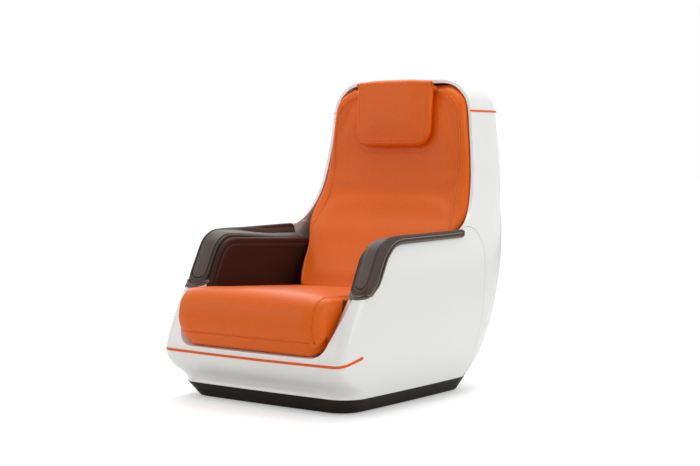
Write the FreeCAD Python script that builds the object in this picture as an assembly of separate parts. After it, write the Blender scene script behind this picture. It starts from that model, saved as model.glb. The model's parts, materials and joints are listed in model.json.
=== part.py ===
import FreeCAD
import Part
import math
import os

# Compact massage armchair: a moulded white egg-shaped body on a dark tapered plinth, orange leather seat,
# back and head pillow, brown leather arm caps and arm linings, and orange trim strips in the body's seams.
# A roller carriage climbs two leaning rails inside the back. The front of the chair faces -Y, +Z is up, and
# the origin lies on the floor under the middle of the chair. All sizes are millimetres.

# Whole chair
overall_height = 1020.0
overall_depth = 1080.0
overall_width = 740.0

# Moulded body
body_wall = 11.0
body_foot_height = 50.0
top_shoulder_radius = 104.0
shoulder_steps = 5
body_levels = 18
front_bow_radius = 9000.0
side_bow_radius = 9000.0
back_bow_radius = 1400.0
seam_gap = 1.2
overrun = 60.0
skin_overrun = 15.0
# Each row: height, half width, front reach, back reach, front corner and rear corner, as shares of the
# overall height, half width, half depth, half depth, half width and half width
body_shares = [
    (0.049, 0.951, 0.859, 0.511, 0.215, 0.378),
    (0.098, 0.978, 0.914, 0.626, 0.138, 0.432),
    (0.149, 0.995, 0.963, 0.722, 0.085, 0.486),
    (0.201, 1.000, 0.933, 0.804, 0.086, 0.530),
    (0.263, 1.000, 0.885, 0.874, 0.097, 0.573),
    (0.328, 0.997, 0.815, 0.930, 0.092, 0.611),
    (0.392, 0.992, 0.741, 0.967, 0.095, 0.632),
    (0.451, 0.981, 0.667, 0.989, 0.120, 0.622),
    (0.500, 0.957, 0.593, 0.998, 0.150, 0.578),
    (0.549, 0.922, 0.519, 1.000, 0.190, 0.514),
    (0.618, 0.878, 0.407, 1.000, 0.240, 0.438),
    (0.686, 0.849, 0.278, 1.000, 0.290, 0.351),
    (0.784, 0.811, 0.093, 1.000, 0.310, 0.310),
    (0.877, 0.778, -0.037, 1.000, 0.310, 0.303),
    (1.000, 0.746, -0.148, 1.000, 0.310, 0.300),
]

# Hood rim: the front edge of the body beside and above the back cushion
rim_y_shares = [0.263, 0.374, 0.455, 0.500, 0.528, 0.541]
rim_z_shares = [0.519, 0.564, 0.637, 0.735, 0.882, 1.060]

# Arms: path of the cap's outer and inner edge seen from the side
cap_outer = 363.0
cap_inner = 291.0
cap_rim_width = 15.0
cap_slope_width = 16.0
cap_bend_radius = 90.0
cap_front_thickness = 34.0
cap_top_thickness = 22.0
cap_tip_radius = 30.0
cap_end_round = 9.0
cap_tip_y = -404.0
cap_tip_z = 350.0
cap_corner_y = -313.0
cap_corner_z = 522.0
cap_rear_y = 133.0
cap_rear_z = 528.0
cap_inner_tip_rise = 4.0
cap_inner_tip_back = 28.0
cap_inner_corner_back = 17.0
cap_inner_corner_drop = 20.0
cap_inner_rear_drop = 48.0
cap_fit = 0.5
cap_slope_share = 0.75

# Arm inlay: the strip let into the cap
inlay_margin = 11.0
inlay_outer_margin = 2.75
inlay_tip_margin = 17.0
inlay_rear_margin = 14.0
inlay_depth = 5.0
inlay_proud = 1.2
inlay_tip_radius = 20.0
inlay_fit = 0.5

# Arm lining: the upholstered panel on the inner side of each arm
lining_face = 276.0
lining_roll = 9.0
lining_first_step = 3.0
lining_wing_cut = 2.25
lining_bottom_z = 214.0
lining_fit = 0.5

# Seat opening between the wings
opening_bottom_z = 179.0
opening_bottom_y = -476.0
opening_top_z = 360.0
opening_top_y = -371.0
opening_half_bottom = 273.0
opening_half_top = 290.0
opening_corner = 34.0
opening_flare_bottom = 5.0
opening_flare_top = 42.0
opening_flare_depth_bottom = 34.0
opening_flare_depth_top = 44.0
opening_height_share = 2.4
# How far the flare has opened halfway out, and how deep and wide the cutter runs beyond the wings
opening_flare_middle = 0.28
opening_run_share = 3.0
opening_run_flare = 3.4
nose_depth = 66.0
nose_ledge_z = 160.0

# Seams between the body's mouldings
front_seam_x = 276.0
cap_seam_z = 914.0
seam_y_shares = [0.215, 0.331, 0.398, 0.452, 0.468, 0.458, 0.425, 0.352]
seam_z_shares = [0.049, 0.125, 0.187, 0.300, 0.412, 0.462, 0.497, 0.516]

# Trim strips
trim_height = 7.0
trim_depth = 3.0
trim_proud = 0.9
trim_z = 152.0
trim_fit = 0.3
trim_y_shares = [-1.100, -0.985, -0.930, -0.870, -0.820, -0.775]
trim_rise_shares = [0.00, 0.03, 0.26, 0.52, 0.77, 1.00]
trim_rise = 23.0
trim_end_height = 9.5
trim_end_tilt = 1.6

# Plinth, base frame and feet
plinth_bottom_z = 4.0
plinth_wall = 9.0
plinth_deck = 7.0
plinth_gap = 0.4
plinth_bottom_row = (318.0, -434.0, 252.0, 72.0, 110.0)
tube_width = 40.0
tube_height = 26.0
tube_wall = 2.5
frame_half_width = 240.0
frame_front = -350.0
frame_rear = 190.0
frame_cross_shares = (0.04, 0.42, 0.96)
foot_radius = 21.0
foot_rim = 7.0
foot_stud_radius = 5.0
foot_inset = 45.0
post_size = 30.0
post_half_spacing = 205.0
post_rows = (-330.0, 60.0)
post_flange = 10.0
fit = 0.4

# Seat
pan_thickness = 15.0
pan_half_width = 275.6
pan_front = -440.0
pan_rear = 100.0
pan_top_z = 250.0
pan_round = 24.0
seat_half_width = 271.5
seat_bottom_z = 180.0
seat_foot = (-503.0, 26.0)
seat_bulge = (-545.0, 254.0, 74.0)
seat_brow = (-530.0, 353.0, 80.0)
seat_heel = (118.0, 335.0, 16.0)
seat_crown = 8.0
seat_lower_round = 38.0
seat_roll = 30.0
# How much of the rolled edge's inset draws in the heel, back and down, and how much of the crown reaches it
seat_heel_shares = (0.25, 0.5, 0.5)
# Places across a cushion as shares of its half width, and how square its rolled edge is
station_shares = [0.0, 0.30, 0.52, 0.68, 0.80, 0.88, 0.94, 0.98, 1.0]
roll_power = 6
channel_width = 3.0
channel_depth = 2.2
seat_front_channel_z = 221.0
seat_side_channel_x = 247.0

# Back cushion
back_gap = 3.5
back_bottom_z = 343.0
back_plane_y = 256.0
back_plane_z = 300.0
back_lean = 9.5
back_roll = 44.0
back_rear_roll = 12.0
back_crown = 12.0
back_low_half = 272.0
back_wide_z = 590.0
back_narrow_z = 440.0
back_levels = 14
# Height of each level as a share of the overall height, and the front face there as a share of the half depth
back_level_shares = [0.336, 0.392, 0.451, 0.500, 0.549, 0.600, 0.660, 0.735, 0.824, 0.892, 0.930, 0.962, 0.990]
back_front_shares = [0.010, 0.106, 0.196, 0.262, 0.337, 0.398, 0.450, 0.480, 0.500, 0.514, 0.526, 0.545, 0.580]

# Head pillow and its flap
pillow_half_width = 156.0
pillow_bottom_z = 796.0
pillow_top_z = 1002.0
pillow_front_low = 222.0
pillow_front_high = 240.0
pillow_round_low = 17.0
pillow_round_high = 42.0
pillow_reach = 110.0
pillow_corner = 48.0
pillow_gap = 0.7
pillow_roll = 14.0
pillow_hinge_y = 286.0
flap_half_width = 110.0
flap_height = 18.0

# Roller mechanism, drawn upright behind the plane of the back cushion and leant back with it
rail_width = 30.0
rail_depth = 26.0
rail_wall = 3.0
rail_half_spacing = 163.0
rail_setback = 108.0
rail_low = -92.0
rail_foot_front = 200.0
rail_foot_rear = 234.0
rail_high = 636.0
crossbar_levels = (-10.0, 590.0)
crossbar_height = 34.0
crossbar_thickness = 8.0
screw_radius = 7.0
screw_setback = 131.0
running_gap = 0.08
side_gap = 0.5
belt_gap = 0.3
bearing_size = 34.0
carriage_middle = 307.0
carriage_height = 180.0
carriage_half_width = 141.0
carriage_plate = 4.0
carriage_front = 68.0
carriage_back = 150.0
carriage_web_setback = 116.0
shoe_length = 44.0
shoe_fit = 0.8
shaft_radius = 8.0
shaft_setback = 88.0
hub_radius = 17.0
arm_offset = 62.0
arm_thickness = 11.0
arm_ring = 9.0
arm_bar = 17.0
arm_eye_wall = 3.0
roller_radius = 30.0
roller_width = 27.0
roller_setback = 41.0
roller_half_spacing = 62.0
roller_pin_radius = 5.0
roller_round = 7.0
pin_cap_radius = 8.0
pin_cap_width = 3.0
pulley_radius = 27.0
motor_pulley_radius = 10.0
pulley_width = 12.0
pulley_x = 119.0
belt_thickness = 2.4
belt_room = 7.2
motor_drop = 62.0
motor_setback = 138.0
motor_radius = 17.0
motor_length = 74.0
motor_bore_depth = 18.5
motor_spindle = 14.8
screw_motor_radius = 23.0
screw_motor_length = 56.0
screw_motor_socket = 14.0

# Inner units: middle x and y, and size
control_box = (-95.0, -110.0, 150.0, 120.0, 46.0)
power_supply = (100.0, -110.0, 130.0, 100.0, 50.0)
air_pump = (0.0, -285.0, 120.0, 80.0, 60.0)
unit_round = 6.0
vibration_motor_radius = 19.0
vibration_motor_length = 64.0
vibration_motor_y = -20.0
airbag_thickness = 12.0
airbag_size = 150.0
airbag_round = 24.0
airbag_half_spacing = 115.0
airbag_y = -190.0

# Arm frames
arm_board = 14.0
arm_board_front = -345.0
arm_board_rear = 122.0
arm_rail_depth = 46.0

# Power panel in the back
panel_low_x = -105.0
panel_high_x = 25.0
panel_low_z = 92.0
panel_high_z = 150.0
panel_floor_y = 322.0
panel_wall = 3.0
inlet_x = -68.0
inlet_width = 46.0
inlet_height = 26.0
inlet_depth = 24.0
inlet_flange = 3.0
inlet_socket_margin = 7.0
inlet_socket_depth = 17.0
inlet_pin = (2.0, 4.0, 12.0)
inlet_pin_spacing = 8.0
switch_x = -8.0
switch_width = 20.0
switch_height = 26.0
switch_depth = 14.0
rocker_tilt = 9.0
rocker_pin_radius = 1.2
rocker_crown = 0.25
rocker_pin_reach = 0.1

half_width = overall_width / 2
half_depth = overall_depth / 2
FAR = overall_depth


def point(x, y, z):
    return FreeCAD.Vector(x, y, z)


def save(name, shape):
    shape.exportStep(os.path.join("parts", name + ".step"))


def mirrored(shape):
    return shape.mirror(point(0, 0, 0), point(1, 0, 0))


def box(low, high):
    size = high - low
    return Part.makeBox(size.x, size.y, size.z, low)


def rod(radius, start, end):
    along = end - start
    return Part.makeCylinder(radius, along.Length, start, along)


def blend(first, second, share):
    return first + (second - first) * share


def along_table(heights, values, height):
    """The value at a height, on a smooth curve through the rows of a table that climbs."""
    last = len(heights) - 1
    height = min(max(height, heights[0]), heights[last])
    row = max(i for i in range(last) if heights[i] <= height)

    def slope(i):
        low, high = max(i - 1, 0), min(i + 1, last)
        return (values[high] - values[low]) / (heights[high] - heights[low])

    span = heights[row + 1] - heights[row]
    t = (height - heights[row]) / span
    ease = t * t * (3 - 2 * t)
    rise = t * (1 - t) * span * (slope(row) * (1 - t) - slope(row + 1) * t)
    return blend(values[row], values[row + 1], ease) + rise


def rounded_wire(corners, place):
    """A closed wire through corners (u, v, radius), each rounded by a tangent arc of its radius."""
    pieces = []
    count = len(corners)
    ends = []
    for i, (u, v, radius) in enumerate(corners):
        here = point(u, v, 0)
        before = point(*corners[i - 1][:2], 0) - here
        after = point(*corners[(i + 1) % count][:2], 0) - here
        if radius == 0:
            ends.append((here, None, here))
            continue
        turn = before.getAngle(after)
        reach = radius / math.tan(turn / 2)
        start = here + before.normalize() * reach
        end = here + after.normalize() * reach
        middle = before + after
        centre = here + middle.normalize() * (radius / math.sin(turn / 2))
        ends.append((start, centre - middle * radius, end))
    for i, (start, middle, end) in enumerate(ends):
        if middle is not None:
            pieces.append(Part.Arc(place(start), place(middle), place(end)).toShape())
        following = ends[(i + 1) % count][0]
        if (following - end).Length > Part.Precision.confusion() * FAR:
            pieces.append(Part.LineSegment(place(end), place(following)).toShape())
    return Part.Wire(pieces)


def side_place(x):
    return lambda p: point(x, p.x, p.y)


def front_place(y):
    return lambda p: point(p.x, y, p.y)


def plan_place(z):
    return lambda p: point(p.x, p.y, z)


def prism(corners, place, direction):
    return Part.Face(rounded_wire(corners, place)).extrude(direction)


def side_prism(corners, low_x, high_x):
    return prism(corners, side_place(low_x), point(high_x - low_x, 0, 0))


def fused(shapes):
    whole = shapes[0]
    for shape in shapes[1:]:
        whole = whole.fuse(shape)
    return whole.removeSplitter()


def group(shapes):
    return Part.makeCompound(shapes)


def meeting_point(centre_a, reach_a, centre_b, reach_b, towards_back):
    """Where two circles in plan meet, on the front or the back side."""
    gap = centre_b - centre_a
    along = (gap.Length**2 + reach_a**2 - reach_b**2) / (2 * gap.Length)
    across = math.sqrt(reach_a**2 - along**2)
    axis = gap / gap.Length
    foot = centre_a + axis * along
    side = point(-axis.y, axis.x, 0) * across
    pair = sorted([foot + side, foot - side], key=lambda p: p.y)
    return pair[1] if towards_back else pair[0]


def oval_wire(half, front, back, front_corner, rear_corner, z):
    """A plan section of bowed sides joined by tangent corner arcs. front and back are places on Y."""
    middle = (front + back) / 2
    side_centre = point(half - side_bow_radius, middle, 0)
    front_centre = point(0, front + front_bow_radius, 0)
    back_centre = point(0, back - back_bow_radius, 0)
    right = []
    for centre, bow, corner, to_back in (
        (front_centre, front_bow_radius, front_corner, False),
        (back_centre, back_bow_radius, rear_corner, True),
    ):
        heart = meeting_point(centre, bow - corner, side_centre, side_bow_radius - corner, to_back)
        end_touch = centre + (heart - centre).normalize() * bow
        side_touch = side_centre + (heart - side_centre).normalize() * side_bow_radius
        bisector = (end_touch - heart) + (side_touch - heart)
        right.append((end_touch, heart + bisector.normalize() * corner, side_touch))
    lift = point(0, 0, z)

    def arc(*three):
        return Part.Arc(*[p + lift for p in three]).toShape()

    def flip(p):
        return point(-p.x, p.y, p.z)

    (front_touch, front_mid, low_side), (back_touch, back_mid, high_side) = right
    return Part.Wire(
        [
            arc(flip(front_touch), point(0, front, 0), front_touch),
            arc(front_touch, front_mid, low_side),
            arc(low_side, point(half, middle, 0), high_side),
            arc(high_side, back_mid, back_touch),
            arc(back_touch, point(0, back, 0), flip(back_touch)),
            arc(flip(back_touch), flip(back_mid), flip(high_side)),
            arc(flip(high_side), point(-half, middle, 0), flip(low_side)),
            arc(flip(low_side), flip(front_mid), flip(front_touch)),
        ]
    )


def body_row(z, inset):
    """The body's plan sizes at a height, drawn in by an inset and by the rounded shoulder at the top."""
    heights = [row[0] * overall_height for row in body_shares]
    wide, front, back, front_corner, rear_corner = [
        along_table(heights, [row[i] for row in body_shares], z) for i in range(1, 6)
    ]
    shoulder = top_shoulder_radius - inset
    climb = max(0.0, z - (overall_height - top_shoulder_radius))
    drawn_in = inset + shoulder - math.sqrt(max(0.0, shoulder**2 - min(climb, shoulder) ** 2))
    return (
        wide * half_width - drawn_in,
        -front * half_depth + drawn_in,
        back * half_depth - drawn_in,
        front_corner * half_width - drawn_in,
        rear_corner * half_width - drawn_in,
    )


def body_half_width(z, inset):
    return body_row(z, inset)[0]


def body_blank(inset):
    """The body as one lofted solid, drawn in all round by the inset."""
    shoulder_start = overall_height - top_shoulder_radius
    shoulder = top_shoulder_radius - inset
    shares = [level / body_levels for level in range(body_levels)]
    heights = [blend(body_foot_height, shoulder_start, share) for share in shares]
    turns = [math.pi / 2 * step / shoulder_steps for step in range(shoulder_steps + 1)]
    heights += [shoulder_start + shoulder * math.sin(turn) for turn in turns]
    return Part.makeLoft([oval_wire(*body_row(z, inset), z) for z in heights], True, False)


def offset_path(path, distances):
    """A path of three points in the side view moved square to each of its two legs, to the right of travel."""
    moved = []
    for start, end, distance in zip(path, path[1:], distances):
        leg = (end - start).normalize()
        shift = point(leg.y, -leg.x, 0) * distance
        moved.append((start + shift, leg))
    (a, u), (b, v) = moved
    scale = ((b - a).x * v.y - (b - a).y * v.x) / (u.x * v.y - u.y * v.x)
    last = path[-1] + point(v.y, -v.x, 0) * distances[1]
    return [a, a + u * scale, last]


def cap_path(drop):
    """Tip, bend and rear of the arm cap's top in the side view, from its outer edge (0) to its inner edge (1)."""
    return [
        point(cap_tip_y + drop * cap_inner_tip_back, cap_tip_z + drop * cap_inner_tip_rise, 0),
        point(cap_corner_y + drop * cap_inner_corner_back, cap_corner_z - drop * cap_inner_corner_drop, 0),
        point(cap_rear_y, cap_rear_z - drop * cap_inner_rear_drop, 0),
    ]


def band_wire(x, top, low, bend_radius, end_round=0):
    """A closed band between a top and a lower path of three points each, at one place across the chair."""
    corners = [
        (top[0].x, top[0].y, 0),
        (top[1].x, top[1].y, bend_radius),
        (top[2].x, top[2].y, end_round),
        (low[2].x, low[2].y, end_round),
        (low[1].x, low[1].y, bend_radius * cap_slope_share),
        (low[0].x, low[0].y, 0),
    ]
    return rounded_wire(corners, side_place(x))


def lengthened(path, at_start, at_end):
    first = (path[0] - path[1]).normalize()
    last = (path[2] - path[1]).normalize()
    return [path[0] + first * at_start, path[1], path[2] + last * at_end]


def tip_mask(low_x, high_x, radius, tip, slope):
    """A long prism through the front slope that rounds the two corners of a strip at its lower end."""
    lean = cap_path(0)[0] - cap_path(1)[0]
    outward = point(0, lean.x, lean.y).normalize()
    upward = point(0, slope.x, slope.y)
    start = point(0, tip.x, tip.y) + outward * overrun

    def place(p):
        return start + point(p.x, 0, 0) + upward * p.y

    corners = [(low_x, 0, radius), (high_x, 0, radius), (high_x, FAR, 0), (low_x, FAR, 0)]
    return prism(corners, place, outward * -(FAR + overrun))


def cap_blank(grow, headroom=0):
    """The right arm cap before its inlay groove, larger all round by grow and higher by the headroom."""
    stations = [
        (cap_inner - grow, 1.0),
        (cap_outer - cap_rim_width - cap_slope_width, cap_slope_share),
        (cap_outer - cap_rim_width, 0.0),
        (cap_outer + grow, 0.0),
    ]
    wires = []
    for x, drop in stations:
        path = lengthened(cap_path(drop), cap_tip_radius, grow)
        top = offset_path(path, [-grow - headroom, -grow - headroom])
        low = offset_path(path, [cap_front_thickness + grow, cap_top_thickness + grow])
        wires.append(band_wire(x, top, low, cap_bend_radius, cap_end_round))
    blank = Part.makeLoft(wires, True, True)
    tip, corner, _ = cap_path(0)
    slope = (corner - tip).normalize()
    mask = tip_mask(cap_inner - grow, cap_outer + grow, cap_tip_radius + grow, tip - slope * grow, slope)
    return blank.common(mask)


def inlay_blank(grow):
    """The right inlay strip, larger on its sides and underside by grow."""
    low_x = cap_inner + inlay_margin
    high_x = cap_outer - cap_rim_width - inlay_outer_margin
    foot_x = cap_outer - cap_rim_width - cap_slope_width
    edge_drop = cap_slope_share * (cap_outer - cap_rim_width - high_x) / cap_slope_width
    wires = []
    for x, drop in ((low_x - grow, 1.0), (foot_x, cap_slope_share), (high_x + grow, edge_drop)):
        path = lengthened(cap_path(drop), cap_tip_radius, grow - inlay_rear_margin)
        top = offset_path(path, [-inlay_proud, -inlay_proud])
        low = offset_path(path, [inlay_depth + grow, inlay_depth + grow])
        wires.append(band_wire(x, top, low, cap_bend_radius))
    tip, corner, _ = cap_path(0)
    slope = (corner - tip).normalize()
    start = tip + slope * (inlay_tip_margin - grow)
    mask = tip_mask(low_x - grow, high_x + grow, inlay_tip_radius, start, slope)
    return Part.makeLoft(wires, True, True).common(mask)


def arm_lining():
    """The upholstered panel inside the right arm, its top and front edge rolled over."""
    lower = cap_path(1.0)
    slope = (lower[0] - lower[1]).normalize()
    foot = lower[0] + slope * ((lower[0].y - lining_bottom_z) / -slope.y)
    high_x = cap_inner - lining_fit
    wires = []
    for x, inset in (
        (high_x, 0),
        (lining_face + lining_roll, 0),
        (lining_face + lining_first_step, lining_first_step),
        (lining_face, lining_roll),
    ):
        path = offset_path([foot, lower[1], lower[2]], [inset, inset])
        corners = [
            (path[0].x, path[0].y, 0),
            (path[1].x, path[1].y, cap_bend_radius),
            (path[2].x, path[2].y, 0),
            (path[2].x, lining_bottom_z, 0),
        ]
        wires.append(rounded_wire(corners, side_place(x)))
    nose = nose_block(fit)
    below_tip = slab(0, cap_tip_z + cap_inner_tip_rise + fit)
    wing_top = box(point(opening_half_top - lining_wing_cut, -FAR, 0), point(FAR, FAR, opening_top_z + lining_roll))
    return Part.makeLoft(wires, True, True).cut(nose.common(below_tip)).cut(nose.common(wing_top))


def rim_cutter():
    """What is cut from the body above the arms and in front of the hood's rim, as one prism across the chair."""
    tip, corner, rear = cap_path(0)
    corners = [(tip.x, tip.y, 0), (corner.x, corner.y, cap_bend_radius), (rear.x, rear.y, 0)]
    start = point(corner.x, corner.y, 0)
    low_leg = (tip - start).normalize()
    high_leg = (rear - start).normalize()
    turn = low_leg.getAngle(high_leg)
    reach = cap_bend_radius / math.tan(turn / 2)
    bisector = (low_leg + high_leg).normalize()
    centre = start + bisector * (cap_bend_radius / math.sin(turn / 2))
    arc_points = [start + low_leg * reach, centre - bisector * cap_bend_radius, start + high_leg * reach]
    place = side_place(-FAR)
    rim = [point(y * half_depth, z * overall_height, 0) for y, z in zip(rim_y_shares, rim_z_shares)]
    curve = Part.BSplineCurve()
    curve.interpolate([place(p) for p in [rear] + rim[1:]])
    top = rim[-1]
    edges = [
        Part.LineSegment(place(tip), place(arc_points[0])).toShape(),
        Part.Arc(*[place(p) for p in arc_points]).toShape(),
        Part.LineSegment(place(arc_points[2]), place(rear)).toShape(),
        curve.toShape(),
        Part.LineSegment(place(top), place(point(-FAR, top.y, 0))).toShape(),
        Part.LineSegment(place(point(-FAR, top.y, 0)), place(point(-FAR, tip.y, 0))).toShape(),
        Part.LineSegment(place(point(-FAR, tip.y, 0)), place(tip)).toShape(),
    ]
    return Part.Face(Part.Wire(edges)).extrude(point(2 * FAR, 0, 0))


def opening_cutter():
    """The seat opening between the wings: a U in the sloping front, flared towards the outside."""
    stations = [
        (overrun, overrun, 0),
        (0, 0, 0),
        (-opening_flare_depth_bottom / 2, -opening_flare_depth_top / 2, opening_flare_middle),
        (-opening_flare_depth_bottom, -opening_flare_depth_top, 1),
        (
            -opening_flare_depth_bottom * opening_run_share,
            -opening_flare_depth_top * opening_run_share,
            opening_run_flare,
        ),
    ]
    wires = []
    for shift_bottom, shift_top, flare in stations:
        low_half = opening_half_bottom + opening_flare_bottom * flare
        high_half = opening_half_top + opening_flare_top * flare
        low = point(0, opening_bottom_y + shift_bottom, opening_bottom_z - opening_flare_bottom * flare)
        high = point(0, opening_top_y + shift_top, opening_top_z)

        def place(p, low=low, high=high):
            return low + (high - low) * p.y + point(p.x, 0, 0)

        rise = (high - low).Length
        far_half = blend(low_half, high_half, opening_height_share)
        share = opening_corner / rise
        wires.append(u_wire(low_half, far_half, share, place))
    return Part.makeLoft(wires, True, True)


def u_wire(low_half, far_half, share, place):
    """A U-shaped outline that widens upwards; its height is counted in shares and its lower corners are round."""
    reach = opening_corner
    lean = (far_half - low_half) * share / opening_height_share
    bend = 1 - math.sqrt(2) / 2

    def corner(sign):
        return [
            point(sign * (low_half + lean), share, 0),
            point(sign * (low_half - reach * bend), share * bend, 0),
            point(sign * (low_half - reach), 0, 0),
        ]

    right, left = corner(1), corner(-1)
    top_right = point(far_half, opening_height_share, 0)
    top_left = point(-far_half, opening_height_share, 0)
    return Part.Wire(
        [
            Part.LineSegment(place(left[2]), place(right[2])).toShape(),
            Part.Arc(place(right[2]), place(right[1]), place(right[0])).toShape(),
            Part.LineSegment(place(right[0]), place(top_right)).toShape(),
            Part.LineSegment(place(top_right), place(top_left)).toShape(),
            Part.LineSegment(place(top_left), place(left[0])).toShape(),
            Part.Arc(place(left[0]), place(left[1]), place(left[2])).toShape(),
        ]
    )


def nose_block(gap=0):
    """What stays solid behind the wings' front edges, above the front panel, thicker at the back by a gap."""
    rise = overall_height
    lean = (opening_top_y - opening_bottom_y) / (opening_top_z - opening_bottom_z)
    start_y = opening_bottom_y + nose_depth / 2 + gap
    corners = [
        (-FAR, nose_ledge_z, 0),
        (start_y + lean * (nose_ledge_z - opening_bottom_z), nose_ledge_z, 0),
        (start_y + lean * (rise - opening_bottom_z), rise, 0),
        (-FAR, rise, 0),
    ]
    return side_prism(corners, -FAR, FAR)


def seam_cutter(shift):
    """Everything behind the seam between a side shell and the back shell, moved back by shift."""
    place = side_place(-FAR)
    path = [point(y * half_depth, z * overall_height, 0) for y, z in zip(seam_y_shares, seam_z_shares)]
    start = point(cap_rear_y, cap_rear_z, 0)
    path = path[:-1] + [start]
    moved = [p + point(shift, shift, 0) for p in path]
    curve = Part.BSplineCurve()
    curve.interpolate([place(p) for p in moved])
    low, high = moved[0], moved[-1]
    corners = [high, point(-FAR, high.y, 0), point(-FAR, 0, 0), point(low.x, 0, 0), low]
    edges = [curve.toShape()]
    edges += [Part.LineSegment(place(a), place(b)).toShape() for a, b in zip(corners, corners[1:])]
    return Part.Face(Part.Wire(edges)).extrude(point(2 * FAR, 0, 0))


def trim_band():
    """The side view of the strip along the front and up the side, rounded off at its rear end."""
    lows, highs = [], []
    for y_share, rise_share in zip(trim_y_shares, trim_rise_shares):
        height = blend(trim_height, trim_end_height, rise_share)
        middle = trim_z + trim_rise * rise_share
        lows.append(point(-FAR, y_share * half_depth, middle - height / 2))
        highs.append(point(-FAR, y_share * half_depth, middle + height / 2))
    low_curve, high_curve = Part.BSplineCurve(), Part.BSplineCurve()
    low_curve.interpolate(lows)
    high_curve.interpolate(list(reversed(highs)))
    end = (lows[-1] + highs[-1]) / 2 + point(0, trim_end_height / 2, trim_end_tilt)
    edges = [
        low_curve.toShape(),
        Part.Arc(lows[-1], end, highs[-1]).toShape(),
        high_curve.toShape(),
        Part.LineSegment(highs[0], lows[0]).toShape(),
    ]
    return Part.Face(Part.Wire(edges)).extrude(point(2 * FAR, 0, 0))


def slab(low_z, high_z):
    return box(point(-FAR, -FAR, low_z), point(FAR, FAR, high_z))


def body_parts():
    """The white mouldings and the trim strips let into them."""
    skin = body_blank(0)
    hollow = body_blank(body_wall).cut(nose_block())
    hollow = hollow.fuse(Part.Face(oval_wire(*body_row(body_foot_height, body_wall), body_foot_height)).extrude(
        point(0, 0, -overrun)))
    shell = skin.cut(hollow).cut(rim_cutter()).cut(opening_cutter())
    notch = cap_blank(cap_fit, overrun)
    shell = shell.cut(notch).cut(mirrored(notch))

    ring = body_blank(-trim_proud).cut(body_blank(trim_depth))
    groove = body_blank(-skin_overrun).cut(body_blank(trim_depth + trim_fit))
    band = trim_band()
    top_band = slab(cap_seam_z - trim_height / 2, cap_seam_z + trim_height / 2)
    middle = box(point(-front_seam_x, -FAR, 0), point(front_seam_x, 0, opening_top_z))
    strip = ring.common(band)
    top_strip = ring.common(top_band).cut(rim_cutter())
    front_strip = strip.common(middle)
    side_strip = strip.cut(middle).common(box(point(0, -FAR, 0), point(FAR, 0, overall_height)))

    channel = groove.common(band.fuse(slab(cap_seam_z - trim_height / 2, cap_seam_z + trim_height / 2)))
    shell = shell.cut(channel)

    sides = shell.common(seam_cutter(-seam_gap / 2))
    backs = shell.cut(seam_cutter(seam_gap / 2))
    seam_front = box(point(-front_seam_x, -FAR, 0), point(front_seam_x, 0, overall_height))
    inner_front = box(
        point(-front_seam_x + seam_gap / 2, -FAR, 0), point(front_seam_x - seam_gap / 2, 0, overall_height)
    )
    outside = sides.cut(seam_front)
    right = outside.common(box(point(0, -FAR, 0), point(FAR, FAR, overall_height)))
    parts = {
        "right_side_shell": right,
        "left_side_shell": mirrored(right),
        "front_panel": sides.common(inner_front),
        "back_shell": backs.common(slab(0, cap_seam_z)),
        "top_cap": backs.common(slab(cap_seam_z, FAR)),
        "front_trim": front_strip,
        "right_trim": side_strip,
        "left_trim": mirrored(side_strip),
        "top_trim": top_strip,
    }
    return parts


def arm_parts():
    cap = cap_blank(0).cut(inlay_blank(inlay_fit))
    inlay = inlay_blank(0)
    lining = arm_lining()
    return {
        "right_arm_cap": cap,
        "left_arm_cap": mirrored(cap),
        "right_arm_inlay": inlay,
        "left_arm_inlay": mirrored(inlay),
        "right_arm_lining": lining,
        "left_arm_lining": mirrored(lining),
    }


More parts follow.
